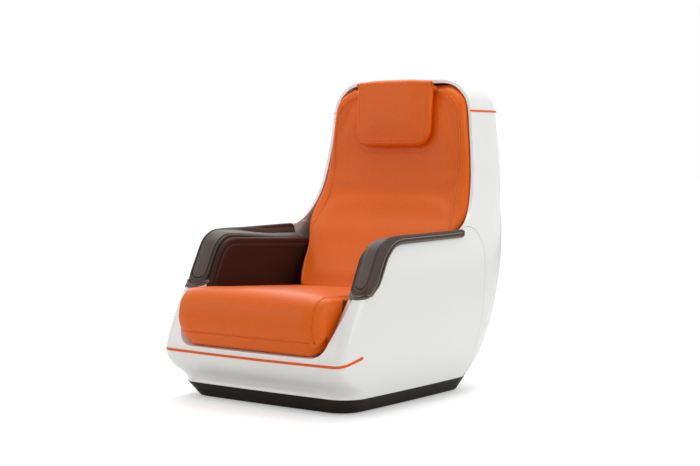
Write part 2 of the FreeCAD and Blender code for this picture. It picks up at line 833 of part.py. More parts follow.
def base_parts():
    """The plinth, the welded base frame with its seat posts, and the glides it stands on."""
    top_z = body_foot_height - plinth_gap
    top_row = body_row(body_foot_height, plinth_gap)

    def skirt(inset, low_z, high_z):
        rows = []
        for z in (low_z, high_z):
            share = (z - plinth_bottom_z) / (top_z - plinth_bottom_z)
            sizes = [blend(a, b, share) for a, b in zip(plinth_bottom_row, top_row)]
            half, front, back, front_corner, rear_corner = sizes
            corners = (front_corner - inset, rear_corner - inset)
            rows.append(oval_wire(half - inset, front + inset, back - inset, *corners, z))
        return Part.makeLoft(rows, True, True)

    deck_low = top_z - plinth_deck
    plinth = skirt(0, plinth_bottom_z, top_z).cut(skirt(plinth_wall, plinth_bottom_z - fit, deck_low))

    frame_top = deck_low - fit
    frame_low = frame_top - tube_height

    def tube(low, high, wall):
        inner_low = low + point(wall, 0, wall) if high.x - low.x < high.y - low.y else low + point(0, wall, wall)
        inner_high = high - point(wall, 0, wall) if high.x - low.x < high.y - low.y else high - point(0, wall, wall)
        return box(low, high).cut(box(inner_low, inner_high))

    pieces = []
    for side in (-1, 1):
        middle = side * frame_half_width
        low = point(middle - tube_width / 2, frame_front, frame_low)
        pieces.append(tube(low, point(middle + tube_width / 2, frame_rear, frame_top), tube_wall))
    for share in frame_cross_shares:
        middle = blend(frame_front, frame_rear, share)
        reach = frame_half_width - tube_width / 2
        low = point(-reach, middle - tube_width / 2, frame_low)
        pieces.append(tube(low, point(reach, middle + tube_width / 2, frame_top), tube_wall))
    frame = fused(pieces)

    posts = []
    post_top = pan_top_z - pan_thickness - fit
    for side in (-1, 1):
        for y in post_rows:
            low = point(side * post_half_spacing - post_size / 2, y - post_size / 2, top_z + fit)
            high = low + point(post_size, post_size, post_top - low.z)
            inner = point(tube_wall, tube_wall, 0)
            post = box(low, high).cut(box(low + inner, high - inner))
            spread = point(post_flange, post_flange, 0)
            flange = box(low - spread, point(high.x, high.y, low.z + tube_wall) + spread)
            posts.append(post.fuse(flange))

    feet = []
    for side in (-1, 1):
        for y in (frame_front + foot_inset, frame_rear - foot_inset):
            middle = point(side * frame_half_width, y, 0)
            disc = Part.makeCylinder(foot_radius, foot_rim, middle)
            stud = Part.makeCylinder(foot_stud_radius, frame_low - fit, middle)
            feet.append(disc.fuse(stud))
    return {
        "plinth": plinth,
        "base_frame": frame,
        "left_seat_posts": group(posts[:2]),
        "right_seat_posts": group(posts[2:]),
        "levelling_feet": group(feet),
    }


def rolled_stations(roll):
    """Places from one side of a cushion to the other, each with how far its rolled edge is drawn in there."""
    right = [(share, roll * (1 - (1 - share**roll_power) ** (1 / roll_power))) for share in station_shares]
    left = [(-share, inset) for share, inset in reversed(right[1:])]
    return left + right


def seat_wire(x, inset, crown):
    """The seat cushion's side view, drawn in at its front, top and rear by the inset."""
    heel_y, heel_z, heel_round = seat_heel
    back_share, down_share, crown_share = seat_heel_shares
    easing = 1 - inset / seat_brow[2]
    corners = [
        (seat_foot[0] + inset, seat_bottom_z, seat_foot[1]),
        (seat_bulge[0] + inset, seat_bulge[1], seat_bulge[2] * easing),
        (seat_brow[0] + inset, seat_brow[1] - inset, seat_brow[2] * easing),
        (heel_y - inset * back_share, heel_z - inset * down_share + crown * crown_share, heel_round),
        (heel_y - inset * back_share, pan_top_z + fit, 0),
        (pan_front - fit, pan_top_z + fit, 0),
        (pan_front - fit, seat_bottom_z, 0),
    ]
    corners[2] = (corners[2][0], corners[2][1] + crown, corners[2][2])
    return rounded_wire(corners, side_place(x))


def seat_blank(sunk):
    """The whole seat cushion, sunk all round by a channel's depth."""
    wires = []
    for share, inset in rolled_stations(seat_roll):
        crown = seat_crown * (1 - share**2)
        wires.append(seat_wire(share * seat_half_width, inset + sunk, crown))
    return Part.makeLoft(wires, True, True)


def seat_parts():
    """The padded seat with its sewn channels, the board under it and the two air cells in its underside."""
    outline = [
        (-seat_half_width, seat_bottom_z, seat_lower_round),
        (seat_half_width, seat_bottom_z, seat_lower_round),
        (seat_half_width, FAR, 0),
        (-seat_half_width, FAR, 0),
    ]
    cushion = seat_blank(0).common(prism(outline, front_place(-FAR), point(0, FAR * 2, 0)))
    rind = cushion.cut(seat_blank(channel_depth))
    half = channel_width / 2
    top_z = seat_front_channel_z + half
    reach = seat_side_channel_x
    front = box(point(-reach, -FAR, top_z - channel_width), point(reach, pan_front, top_z))
    channels = [rind.common(front)]
    for side in (-1, 1):
        middle = side * seat_side_channel_x
        slice_box = box(point(middle - half, -FAR, top_z - channel_width), point(middle + half, FAR, FAR))
        channels.append(rind.common(slice_box))
    for channel in channels:
        cushion = cushion.cut(channel)

    cells = []
    for side in (-1, 1):
        pocket, cell = [], []
        for grow, height, into in ((fit, airbag_thickness + fit, pocket), (0, airbag_thickness, cell)):
            reach = airbag_size / 2 + grow
            corners = [
                (side * airbag_half_spacing + u * reach, airbag_y + v * reach, airbag_round + grow)
                for u, v in ((-1, -1), (1, -1), (1, 1), (-1, 1))
            ]
            into.append(prism(corners, plan_place(pan_top_z + fit), point(0, 0, height)))
        cushion = cushion.cut(pocket[0])
        cells.append(cell[0])

    corners = [
        (-pan_half_width, pan_front, pan_round),
        (pan_half_width, pan_front, pan_round),
        (pan_half_width, pan_rear, pan_round),
        (-pan_half_width, pan_rear, pan_round),
    ]
    pan = prism(corners, plan_place(pan_top_z - pan_thickness), point(0, 0, pan_thickness))
    motor_z = pan_top_z - pan_thickness - fit - vibration_motor_radius
    half_length = vibration_motor_length / 2
    motor = rod(
        vibration_motor_radius,
        point(-half_length, vibration_motor_y, motor_z),
        point(half_length, vibration_motor_y, motor_z),
    )
    saddle = box(
        point(-half_length / 2, vibration_motor_y - vibration_motor_radius, motor_z),
        point(half_length / 2, vibration_motor_y + vibration_motor_radius, motor_z + vibration_motor_radius),
    )
    return {
        "seat_cushion": cushion,
        "seat_board": pan,
        "left_seat_air_cell": cells[0],
        "right_seat_air_cell": cells[1],
        "vibration_motor": motor.fuse(saddle),
    }


def leant(shape):
    """A piece of the mechanism, drawn upright with y counted from the cushion's plane, put in its place."""
    placed = shape.copy()
    placed.rotate(point(0, 0, 0), point(1, 0, 0), -back_lean)
    placed.translate(point(0, back_plane_y, back_plane_z))
    return placed


def plane_y(z):
    """How far back the rear plane of the back cushion is at a height."""
    return back_plane_y + (z - back_plane_z) * math.tan(math.radians(back_lean))


def back_blank(grow):
    """The back cushion before it is trimmed to the hood, larger at its front and sides by grow."""
    wires = []
    low, high = [share * overall_height for share in (back_level_shares[0], back_level_shares[-1])]
    for step in range(back_levels):
        z = blend(low, high, step / (back_levels - 1))
        hood_half = body_half_width(z, body_wall + back_gap)
        widening = min(1.0, max(0.0, (z - back_narrow_z) / (back_wide_z - back_narrow_z)))
        half = blend(back_low_half, hood_half, widening**2 * (3 - 2 * widening)) + grow
        front = along_table(back_level_shares, back_front_shares, z / overall_height) * half_depth - grow
        side = front + back_roll + back_crown
        rear = max(plane_y(z), side + back_rear_roll + back_gap)
        turn = back_roll / math.sqrt(2)
        knee = point(half - back_roll + turn, side - turn, z)
        brow = point(half - back_roll, front + back_crown, z)
        flank = point(half, side, z)
        heel = point(half, rear - back_rear_roll, z)
        tail = point(half - back_rear_roll, rear, z)

        def flip(p):
            return point(-p.x, p.y, p.z)

        wires.append(
            Part.Wire(
                [
                    Part.Arc(flip(brow), point(0, front, z), brow).toShape(),
                    Part.Arc(brow, knee, flank).toShape(),
                    Part.LineSegment(flank, heel).toShape(),
                    Part.LineSegment(heel, tail).toShape(),
                    Part.LineSegment(tail, flip(tail)).toShape(),
                    Part.LineSegment(flip(tail), flip(heel)).toShape(),
                    Part.LineSegment(flip(heel), flip(flank)).toShape(),
                    Part.Arc(flip(flank), flip(knee), flip(brow)).toShape(),
                ]
            )
        )
    return Part.makeLoft(wires, True, False)


def back_cushion():
    cushion = back_blank(0).common(body_blank(body_wall + back_gap))
    seat_room = box(point(-FAR, -FAR, 0), point(FAR, plane_y(back_bottom_z), back_bottom_z))
    return cushion.cut(seat_room)


def pillow_parts():
    """The head pillow that hangs over the top of the back cushion, and the flap it turns up on."""
    wires = []
    for share, inset in rolled_stations(pillow_roll):
        low_y = pillow_front_low + inset
        high_y = pillow_front_high + inset
        corners = [
            (low_y, pillow_bottom_z, pillow_round_low),
            (low_y + pillow_reach, pillow_bottom_z, 0),
            (high_y + pillow_reach, pillow_top_z - inset / 2, 0),
            (high_y, pillow_top_z - inset / 2, pillow_round_high),
        ]
        wires.append(rounded_wire(corners, side_place(share * pillow_half_width)))
    blank = Part.makeLoft(wires, True, False)
    outline = [
        (-pillow_half_width, pillow_bottom_z, pillow_corner),
        (pillow_half_width, pillow_bottom_z, pillow_corner),
        (pillow_half_width, pillow_top_z + overrun, 0),
        (-pillow_half_width, pillow_top_z + overrun, 0),
    ]
    mask = prism(outline, front_place(0), point(0, FAR, 0))
    behind = box(point(-FAR, pillow_hinge_y, 0), point(FAR, FAR, FAR * 2))
    padding = back_blank(pillow_gap)
    pillow = blank.common(mask).cut(padding).cut(behind)
    room = box(
        point(-flap_half_width, pillow_hinge_y + pillow_gap, pillow_top_z - flap_height),
        point(flap_half_width, FAR, FAR * 2),
    )
    flap = body_blank(body_wall + fit).common(room).cut(padding)
    front_piece = min(flap.Solids, key=lambda solid: solid.CenterOfMass.y)
    return {"head_pillow": pillow, "pillow_flap": front_piece}


def rail_frame_parts():
    """Two channel rails joined by crossbars, with the lifting screw, its bearings and its motor."""
    rails = []
    half_w, half_d = rail_width / 2, rail_depth / 2
    for side in (-1, 1):
        low = point(side * rail_half_spacing - half_w, rail_setback - half_d, rail_low)
        high = point(side * rail_half_spacing + half_w, rail_setback + half_d, rail_high)
        open_low = low + point(rail_wall, rail_wall, -overrun)
        open_high = high - point(rail_wall, rail_wall, -overrun)
        if side > 0:
            open_low.x = low.x - rail_wall
        else:
            open_high.x = high.x + rail_wall
        rails.append(box(low, high).cut(box(open_low, open_high)))
    lean = math.radians(back_lean)
    ends = []
    for setback in (rail_setback + half_d, rail_setback - half_d):
        y = back_plane_y + setback * math.cos(lean) + rail_low * math.sin(lean)
        z = back_plane_z - setback * math.sin(lean) + rail_low * math.cos(lean)
        ends.append((y, z, 0))
    strut = [(rail_foot_front, body_foot_height, 0), (rail_foot_rear, body_foot_height, 0)] + ends
    feet = [
        side_prism(strut, side * rail_half_spacing - half_w, side * rail_half_spacing + half_w)
        for side in (-1, 1)
    ]
    rails = [fused([leant(rail), foot]) for rail, foot in zip(rails, feet)]

    reach = rail_half_spacing - half_w
    bars, bearings = [], []
    for level in crossbar_levels:
        front = rail_setback - half_d
        bar = box(
            point(-reach - rail_wall, front - crossbar_thickness - fit, level),
            point(reach + rail_wall, front - fit, level + crossbar_height),
        )
        ends = []
        for side in (-1, 1):
            inner = side * (reach + half_w)
            ends.append(
                box(
                    point(inner - half_w, front - crossbar_thickness - fit, level),
                    point(inner + half_w, front - fit, level + crossbar_height),
                )
            )
        bars.append(fused([bar] + ends))
        block = box(
            point(-bearing_size / 2, front - fit, level),
            point(bearing_size / 2, screw_setback + bearing_size / 2, level + crossbar_height),
        )
        hole = Part.makeCylinder(screw_radius + running_gap, FAR, point(0, screw_setback, level - FAR / 2))
        bearings.append(block.cut(hole))
    low_level, high_level = crossbar_levels
    motor_top = low_level - fit
    motor = Part.makeCylinder(screw_motor_radius, screw_motor_length, point(0, screw_setback, motor_top))
    motor.translate(point(0, 0, -screw_motor_length))
    socket_depth = screw_motor_socket
    start = motor_top - socket_depth
    motor = motor.cut(
        Part.makeCylinder(screw_radius + running_gap, FAR, point(0, screw_setback, start - running_gap))
    )
    length = high_level + crossbar_height - start
    screw = Part.makeCylinder(screw_radius, length, point(0, screw_setback, start))
    return {
        "left_rail": rails[0],
        "right_rail": rails[1],
        "lower_crossbar": leant(bars[0].fuse(bearings[0])),
        "upper_crossbar": leant(bars[1].fuse(bearings[1])),
        "screw_motor": leant(motor),
        "lifting_screw": leant(screw),
    }


def carriage_parts():
    """The carriage with its guide shoes and nut, the kneading shaft, and the rocking arms with their rollers."""
    middle = carriage_middle
    low, high = middle - carriage_height / 2, middle + carriage_height / 2
    shaft_hole = rod(
        shaft_radius + running_gap, point(-FAR, shaft_setback, middle), point(FAR, shaft_setback, middle)
    )
    pieces = []
    web_back = carriage_web_setback + carriage_plate
    inner = carriage_half_width - carriage_plate
    pieces.append(box(point(-inner, carriage_web_setback, low), point(inner, web_back, high)))
    for side in (-1, 1):
        ends = sorted([side * inner, side * carriage_half_width])
        pieces.append(box(point(ends[0], carriage_front, low), point(ends[1], carriage_back, high)))
        channel_face = rail_half_spacing + rail_width / 2 - rail_wall - shoe_fit
        ends = sorted([side * carriage_half_width, side * channel_face])
        half_shoe = rail_depth / 2 - rail_wall - shoe_fit
        for level in (low, high - shoe_length):
            pieces.append(
                box(
                    point(ends[0], rail_setback - half_shoe, level),
                    point(ends[1], rail_setback + half_shoe, level + shoe_length),
                )
            )
    pieces.append(
        box(
            point(-bearing_size / 2, web_back, middle + shoe_length / 2),
            point(bearing_size / 2, screw_setback + bearing_size / 2, high),
        )
    )
    belt_reach = pulley_radius + belt_room
    window = box(
        point(pulley_x - pulley_width, carriage_web_setback - fit, middle - motor_drop - belt_reach),
        point(pulley_x + pulley_width, web_back + fit, middle + belt_reach),
    )
    screw_hole = Part.makeCylinder(screw_radius + running_gap, FAR, point(0, screw_setback, low))
    carriage = fused(pieces).cut(shaft_hole).cut(window).cut(screw_hole)

    axis_low = point(-carriage_half_width, shaft_setback, middle)
    axis_high = point(carriage_half_width, shaft_setback, middle)
    shaft = rod(shaft_radius, axis_low, axis_high)
    for side in (-1, 1):
        start = side * arm_offset - arm_thickness / 2
        shaft = shaft.fuse(
            rod(hub_radius, point(start, shaft_setback, middle), point(start + arm_thickness, shaft_setback, middle))
        )
    pulley = rod(
        pulley_radius,
        point(pulley_x - pulley_width / 2, shaft_setback, middle),
        point(pulley_x + pulley_width / 2, shaft_setback, middle),
    )
    shaft = shaft.fuse(pulley)

    motor_z = middle - motor_drop
    start_x = pulley_x - pulley_width / 2 - belt_thickness
    motor = rod(
        motor_radius,
        point(start_x - motor_length, motor_setback, motor_z),
        point(start_x, motor_setback, motor_z),
    )
    motor = motor.cut(
        rod(
            shaft_radius / 2 + running_gap,
            point(start_x - motor_bore_depth, motor_setback, motor_z),
            point(start_x + fit, motor_setback, motor_z),
        )
    )
    small = rod(
        motor_pulley_radius,
        point(pulley_x - pulley_width / 2, motor_setback, motor_z),
        point(pulley_x + pulley_width / 2, motor_setback, motor_z),
    ).fuse(
        rod(
            shaft_radius / 2,
            point(start_x - motor_spindle, motor_setback, motor_z),
            point(pulley_x, motor_setback, motor_z),
        )
    )

    def belt_solid(grow, half):
        ends = [
            rod(radius + grow, point(pulley_x - half, y, z), point(pulley_x + half, y, z))
            for radius, y, z in (
                (pulley_radius, shaft_setback, middle),
                (motor_pulley_radius, motor_setback, motor_z),
            )
        ]
        span = point(0, motor_setback - shaft_setback, motor_z - middle)
        lean = math.acos((pulley_radius - motor_pulley_radius) / span.Length)
        towards = math.atan2(span.z, span.y)
        outline = []
        for sign in (1, -1):
            turn = towards + sign * lean
            out = point(0, math.cos(turn), math.sin(turn))
            big = point(pulley_x - half, shaft_setback, middle) + out * (pulley_radius + grow)
            small_end = point(pulley_x - half, motor_setback, motor_z) + out * (motor_pulley_radius + grow)
            outline += [big, small_end] if sign > 0 else [small_end, big]
        face = Part.Face(Part.makePolygon(outline + outline[:1]))
        return fused([face.extrude(point(half * 2, 0, 0))] + ends)

    half = pulley_width / 2
    belt = belt_solid(belt_gap + belt_thickness, half - belt_gap).cut(belt_solid(belt_gap, half))

    parts = {
        "carriage": leant(carriage),
        "kneading_shaft": leant(shaft),
        "kneading_motor": leant(motor),
        "motor_pulley": leant(small),
        "drive_belt": leant(belt),
    }
    for side, name in ((-1, "left"), (1, "right")):
        start = side * arm_offset - arm_thickness / 2
        end = start + arm_thickness
        ring = rod(hub_radius + running_gap + arm_ring, point(start, shaft_setback, middle),
                   point(end, shaft_setback, middle))
        spokes = [ring]
        pins = []
        outer = side * (arm_offset + arm_thickness / 2)
        pin_end = outer + side * (roller_width + side_gap * 2 + pin_cap_width)
        cap_start = pin_end - side * pin_cap_width
        for tip in (-1, 1):
            tip_z = middle + tip * roller_half_spacing
            eye = rod(arm_bar / 2 + arm_eye_wall, point(start, roller_setback, tip_z),
                      point(end, roller_setback, tip_z))
            spokes.append(eye)
            direction = point(0, roller_setback - shaft_setback, tip_z - middle).normalize()
            square = point(0, -direction.z, direction.y) * (arm_bar / 2)
            first = point(start, shaft_setback, middle)
            second = point(start, roller_setback, tip_z)
            outline = [first + square, second + square, second - square, first - square, first + square]
            spokes.append(Part.Face(Part.makePolygon(outline)).extrude(point(arm_thickness, 0, 0)))
            pins.append(rod(roller_pin_radius, point(start, roller_setback, tip_z),
                            point(pin_end, roller_setback, tip_z)))
            pins.append(rod(pin_cap_radius, point(cap_start, roller_setback, tip_z),
                            point(pin_end, roller_setback, tip_z)))
        bore = rod(hub_radius + running_gap, point(start - fit, shaft_setback, middle),
                   point(end + fit, shaft_setback, middle))
        parts[name + "_roller_arm"] = leant(fused(fused(spokes + pins).cut(bore).Solids))
        for tip, level in ((-1, "lower"), (1, "upper")):
            tip_z = middle + tip * roller_half_spacing
            near = outer + side * side_gap
            far = near + side * roller_width
            barrel = rod(roller_radius, point(near, roller_setback, tip_z), point(far, roller_setback, tip_z))
            rims = [edge for edge in barrel.Edges if isinstance(edge.Curve, Part.Circle)]
            barrel = barrel.makeChamfer(roller_round, rims)
            hole = rod(roller_pin_radius + running_gap, point(near - side * fit, roller_setback, tip_z),
                       point(far + side * fit, roller_setback, tip_z))
            parts[name + "_" + level + "_roller"] = leant(barrel.cut(hole))
    return parts


def inner_unit(place):
    """A small electrical box that stands on the plinth's deck."""
    x, y, width, depth, height = place
    corners = [
        (x + u * width / 2, y + v * depth / 2, unit_round) for u, v in ((-1, -1), (1, -1), (1, 1), (-1, 1))
    ]
    return prism(corners, plan_place(body_foot_height), point(0, 0, height))


def arm_frame():
    """The board behind the right arm lining, and the rail along its top that carries the arm cap."""
    reach = body_half_width(opening_top_z, body_wall + fit)
    inner = body_blank(body_wall + fit)
    board = box(
        point(cap_inner, arm_board_front, body_foot_height),
        point(cap_inner + arm_board, arm_board_rear, cap_corner_z),
    )
    lower = cap_path(1.0)
    shelf_path = offset_path(lower, [cap_front_thickness + arm_rail_depth, cap_top_thickness + arm_rail_depth])
    outline = [
        (arm_board_front, cap_corner_z, 0),
        (arm_board_front, shelf_path[0].y, 0),
        (shelf_path[1].x, shelf_path[1].y, 0),
        (arm_board_rear, shelf_path[2].y, 0),
        (arm_board_rear, cap_corner_z, 0),
    ]
    shelf = side_prism(outline, cap_inner, reach)
    whole = board.fuse(shelf.common(inner)).common(inner).cut(nose_block(fit))
    return fused([whole.cut(cap_blank(fit, overrun * 2))])


def power_parts():
    """The recessed panel low in the back, with the power inlet and the rocker switch."""
    opening = box(
        point(panel_low_x, panel_floor_y, panel_low_z), point(panel_high_x, FAR, panel_high_z)
    )
    wall = point(panel_wall, 0, panel_wall)
    hollow = box(
        point(panel_low_x, panel_floor_y + panel_wall, panel_low_z) + wall,
        point(panel_high_x, FAR, panel_high_z) - wall,
    )
    margin = point(fit, 0, fit)
    tray_box = box(
        point(panel_low_x, panel_floor_y, panel_low_z) + margin, point(panel_high_x, FAR, panel_high_z) - margin
    )
    tray = tray_box.common(body_blank(0)).cut(hollow)
    middle_z = (panel_low_z + panel_high_z) / 2
    face_y = panel_floor_y + panel_wall

    def block(x, width, height, low_y, high_y):
        return box(
            point(x - width / 2, low_y, middle_z - height / 2), point(x + width / 2, high_y, middle_z + height / 2)
        )

    body = block(inlet_x, inlet_width, inlet_height, face_y - inlet_depth, face_y + inlet_flange)
    tray = tray.cut(block(inlet_x, inlet_width + fit, inlet_height + fit, 0, FAR))
    margin_size = inlet_socket_margin * 2
    socket = block(
        inlet_x,
        inlet_width - margin_size,
        inlet_height - margin_size / 2,
        face_y + inlet_flange - inlet_socket_depth,
        FAR,
    )
    inlet = body.cut(socket)
    pin_width, pin_height, pin_length = inlet_pin
    floor_y = face_y + inlet_flange - inlet_socket_depth
    for step in (-1, 0, 1):
        inlet = inlet.fuse(
            block(inlet_x + step * inlet_pin_spacing, pin_width, pin_height, floor_y, floor_y + pin_length)
        )
    tray = tray.cut(block(switch_x, switch_width + fit, switch_height + fit, 0, FAR))
    bezel = block(switch_x, switch_width, switch_height, face_y - switch_depth, face_y + inlet_flange / 2)
    paddle_width = switch_width - panel_wall * 2
    paddle_height = switch_height - panel_wall * 2
    paddle_room = block(
        switch_x, paddle_width + fit * 2, paddle_height + fit * 2, face_y - switch_depth + panel_wall, FAR
    )
    bezel = bezel.cut(paddle_room)
    swell = point(0, face_y, 0)
    half = paddle_height / 2
    rise = half * math.tan(math.radians(rocker_tilt))
    trim = fit * 2
    outline = [
        (swell.y - inlet_flange, middle_z - half + trim, 0),
        (swell.y + inlet_flange / 2 - rise, middle_z - half + trim, 0),
        (swell.y + inlet_flange / 2 + rise * rocker_crown, middle_z, 0),
        (swell.y + inlet_flange / 2 - rise, middle_z + half - trim, 0),
        (swell.y - inlet_flange, middle_z + half - trim, 0),
    ]
    rocker = side_prism(outline, switch_x - paddle_width / 2 + trim, switch_x + paddle_width / 2 - trim)
    pin_reach = point(paddle_width / 2 + rocker_pin_reach, 0, 0)
    pivot = point(switch_x, face_y - inlet_flange / 2, middle_z)
    rocker = rocker.fuse(rod(rocker_pin_radius, pivot - pin_reach, pivot + pin_reach))
    return opening, {
        "power_panel": tray,
        "power_inlet": inlet,
        "switch_bezel": bezel,
        "power_rocker": rocker,
    }


os.makedirs("parts", exist_ok=True)
nodes = body_parts()
nodes.update(arm_parts())
nodes.update(base_parts())
nodes.update(seat_parts())
nodes["back_cushion"] = back_cushion()
nodes.update(pillow_parts())
nodes.update(rail_frame_parts())
nodes.update(carriage_parts())
nodes["right_arm_frame"] = arm_frame()
nodes["left_arm_frame"] = mirrored(nodes["right_arm_frame"])
nodes["control_box"] = inner_unit(control_box)
nodes["power_supply"] = inner_unit(power_supply)
nodes["air_pump"] = inner_unit(air_pump)
panel_opening, panel_nodes = power_parts()
nodes["back_shell"] = nodes["back_shell"].cut(panel_opening)
nodes.update(panel_nodes)
for node_name, node_shape in nodes.items():
    save(node_name, node_shape)
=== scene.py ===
import json
import math

import bpy
import numpy as np
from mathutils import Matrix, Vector
from mathutils.bvhtree import BVHTree


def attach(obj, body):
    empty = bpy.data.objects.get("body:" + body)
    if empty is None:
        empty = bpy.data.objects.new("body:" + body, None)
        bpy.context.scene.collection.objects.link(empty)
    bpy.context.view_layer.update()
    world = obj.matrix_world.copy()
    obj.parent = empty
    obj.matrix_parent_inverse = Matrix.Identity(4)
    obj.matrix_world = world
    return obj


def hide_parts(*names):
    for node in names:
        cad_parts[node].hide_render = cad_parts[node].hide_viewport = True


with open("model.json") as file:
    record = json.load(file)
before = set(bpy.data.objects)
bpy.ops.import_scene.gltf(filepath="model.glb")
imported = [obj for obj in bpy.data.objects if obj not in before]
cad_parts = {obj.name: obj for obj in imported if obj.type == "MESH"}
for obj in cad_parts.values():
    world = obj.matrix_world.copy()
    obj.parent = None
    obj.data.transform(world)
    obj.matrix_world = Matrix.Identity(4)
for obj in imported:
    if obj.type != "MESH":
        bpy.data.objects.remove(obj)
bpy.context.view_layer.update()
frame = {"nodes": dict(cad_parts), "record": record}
# Lengths are written in mm, except those of the stage, the lamps and the camera
MM = 0.001

# Camera, as it stood for the photograph
camera_place = (2.84135, -3.74389, 0.77529)
camera_pitch = 3.2204
camera_yaw = 37.1986
camera_lens = 73.54

# Seat cushion
seat_half = 271.0
seat_corner_width = 64.0
seat_corner_depth = 46.0
seat_corner_drop = 0.40
seat_corner_easing = 0.5
seat_wing_share = 0.06
seat_wing_line = ((178.0, 511.0), (350.0, 374.0))
seat_bottom = 178.0
seat_foot = (-511.0, 22.0)
seat_bulge = (-545.0, 254.0, 74.0)
seat_brow = (-530.0, 357.0, 80.0)
seat_heel = (117.0, 319.0, 30.0)
seat_heel_low = 256.0
seat_crown = 9.0
seat_lower_round = 42.0
seat_seam_x = 248.0
seat_seam_z = 221.0
# The underside steps up behind this place to this height
seat_step_y = -441.0
seat_board_top = 251.5
# Its cover is held below and behind these places; the lower seam is sewn in front of the last one
seat_held_z = 195.0
seat_held_y = 40.0
seat_ahead_y = -400.0

# Back cushion
back_lean = 9.5
back_plane = (256.0, 300.0)
back_roll = 25.0
back_bottom = 329.0
back_top = 1004.0
back_top_reach = 74.0
back_edge_share = 0.72
back_seam_step = 7.0
# Rows of (height, value): how far the middle lies back, how far the sides lie behind it, half of the width
back_front_rows = [
    (325, -9), (343, 5.4), (400, 57.2), (460, 105.8), (510, 141.5), (560, 182), (612, 214.9), (673, 243),
    (750, 259.2), (840, 270), (910, 277.6), (949, 284), (981, 294.3), (1010, 313.2),
]
back_crown_rows = [(330, 4), (600, 2), (750, -6), (830, -14), (950, -20), (1004, -20)]
back_half_rows = [
    (325, 218), (343, 231), (370, 247), (400, 260), (440, 269.6), (460, 275.6), (480, 284.4), (500, 295.8),
    (520, 307.2), (540, 315.8), (560, 319.6), (590, 317.8), (620, 311.2), (650, 305.6), (700, 298.4),
    (750, 291.4), (800, 284.6), (850, 277.9), (900, 272.2), (920, 269.7), (940, 264.7), (960, 254.6),
    (970, 245.8), (980, 234.4), (990, 220.5), (995, 212.4), (1000, 203.3), (1004, 187.2),
]
# The sewn seam inside the outline, as (height, distance from the middle), and the stitched line round the pillow
back_seam_rows = [
    (325, 200), (400, 238), (460, 262), (500, 278), (525, 283), (560, 276), (600, 267), (643, 261.5),
    (735, 259), (808, 260.5), (871, 256), (919, 241.5), (940, 225.5), (957, 204), (969, 178), (978, 140),
    (983, 90),
]
rest_line = ((167.0, 905.0, 0), (169.0, 775.0, 62.0), (-169.0, 775.0, 62.0), (-167.0, 905.0, 0))


def rows_value(rows, at):
    """A smooth curve through rows of (place, value)."""
    places = np.array([row[0] for row in rows])
    values = np.array([row[1] for row in rows])
    slopes = np.gradient(values, places)
    at = np.clip(np.asarray(at, float), places[0], places[-1])
    i = np.clip(np.searchsorted(places, at, side="right") - 1, 0, len(rows) - 2)
    span = places[i + 1] - places[i]
    t = (at - places[i]) / span
    return (
        (2 * t**3 - 3 * t**2 + 1) * values[i]
        + (t**3 - 2 * t**2 + t) * span * slopes[i]
        + (3 * t**2 - 2 * t**3) * values[i + 1]
        + (t**3 - t**2) * span * slopes[i + 1]
    )


def rounded(corners, arc_steps=8):
    """A polyline through corners (u, v, radius), each rounded by a tangent arc of a fixed number of steps."""
    points = []
    for i, (u, v, radius) in enumerate(corners):
        here = np.array((u, v))
        if radius <= 0 or i in (0, len(corners) - 1):
            points.append(here)
            continue
        before = np.array(corners[i - 1][:2]) - here
        after = np.array(corners[i + 1][:2]) - here
        before /= np.linalg.norm(before)
        after /= np.linalg.norm(after)
        turn = math.acos(float(np.clip(before @ after, -1, 1)))
        middle = before + after
        middle /= np.linalg.norm(middle)
        centre = here + middle * radius / math.sin(turn / 2)
        start = here + before * radius / math.tan(turn / 2) - centre
        end = here + after * radius / math.tan(turn / 2) - centre
        a = math.atan2(start[1], start[0])
        b = math.atan2(end[1], end[0])
        sweep = (b - a + math.pi) % (2 * math.pi) - math.pi
        for step in range(arc_steps + 1):
            angle = a + sweep * step / arc_steps
            points.append(centre + radius * np.array((math.cos(angle), math.sin(angle))))
    return np.array(points)


def path_lengths(line):
    """How far along a line each of its points lies."""
    return np.concatenate([[0], np.cumsum(np.linalg.norm(np.diff(line, axis=0), axis=1))])


def along_line(line, lengths, at):
    """The points at given lengths along a line."""
    return np.stack([np.interp(at, lengths, line[:, k]) for k in range(line.shape[1])], axis=1)


def resample(line, count):
    """The same line with its points at equal steps."""
    lengths = path_lengths(line)
    return along_line(line, lengths, np.linspace(0, lengths[-1], count))


def unit(rows):
    return rows / np.linalg.norm(rows, axis=1, keepdims=True)


def quarter_turn(count):
    return np.linspace(0, math.pi / 2, count)


def edge_spaced(count, squeeze):
    """Places from -1 to 1, closer together near both ends."""
    t = np.linspace(-1, 1, count)
    return (1 - squeeze) * t + squeeze * np.sin(t * math.pi / 2)


def smooth_weights(count, at):
    """Weights that turn a row of control points into points on a smooth cubic curve through their middle."""
    weights = np.zeros((len(at), count))
    i = np.clip(np.floor(at).astype(int), 0, count - 2)
    t = at - i
    parts = (
        (1 - t) ** 3 / 6,
        (3 * t**3 - 6 * t**2 + 4) / 6,
        (-3 * t**3 + 3 * t**2 + 3 * t + 1) / 6,
        t**3 / 6,
    )
    for k, part in enumerate(parts):
        for row, place in enumerate(i - 1 + k):
            if place < 0:
                weights[row, 0] += 2 * part[row]
                weights[row, 1] -= part[row]
            elif place > count - 1:
                weights[row, count - 1] += 2 * part[row]
                weights[row, count - 2] -= part[row]
            else:
                weights[row, place] += part[row]
    return weights


def refined(grid, rows_at, columns_at):
    """A finer grid on the smooth surface of a coarse one."""
    a = smooth_weights(grid.shape[0], rows_at)
    b = smooth_weights(grid.shape[1], columns_at)
    return np.einsum("ri,ijk,cj->rck", a, grid, b)


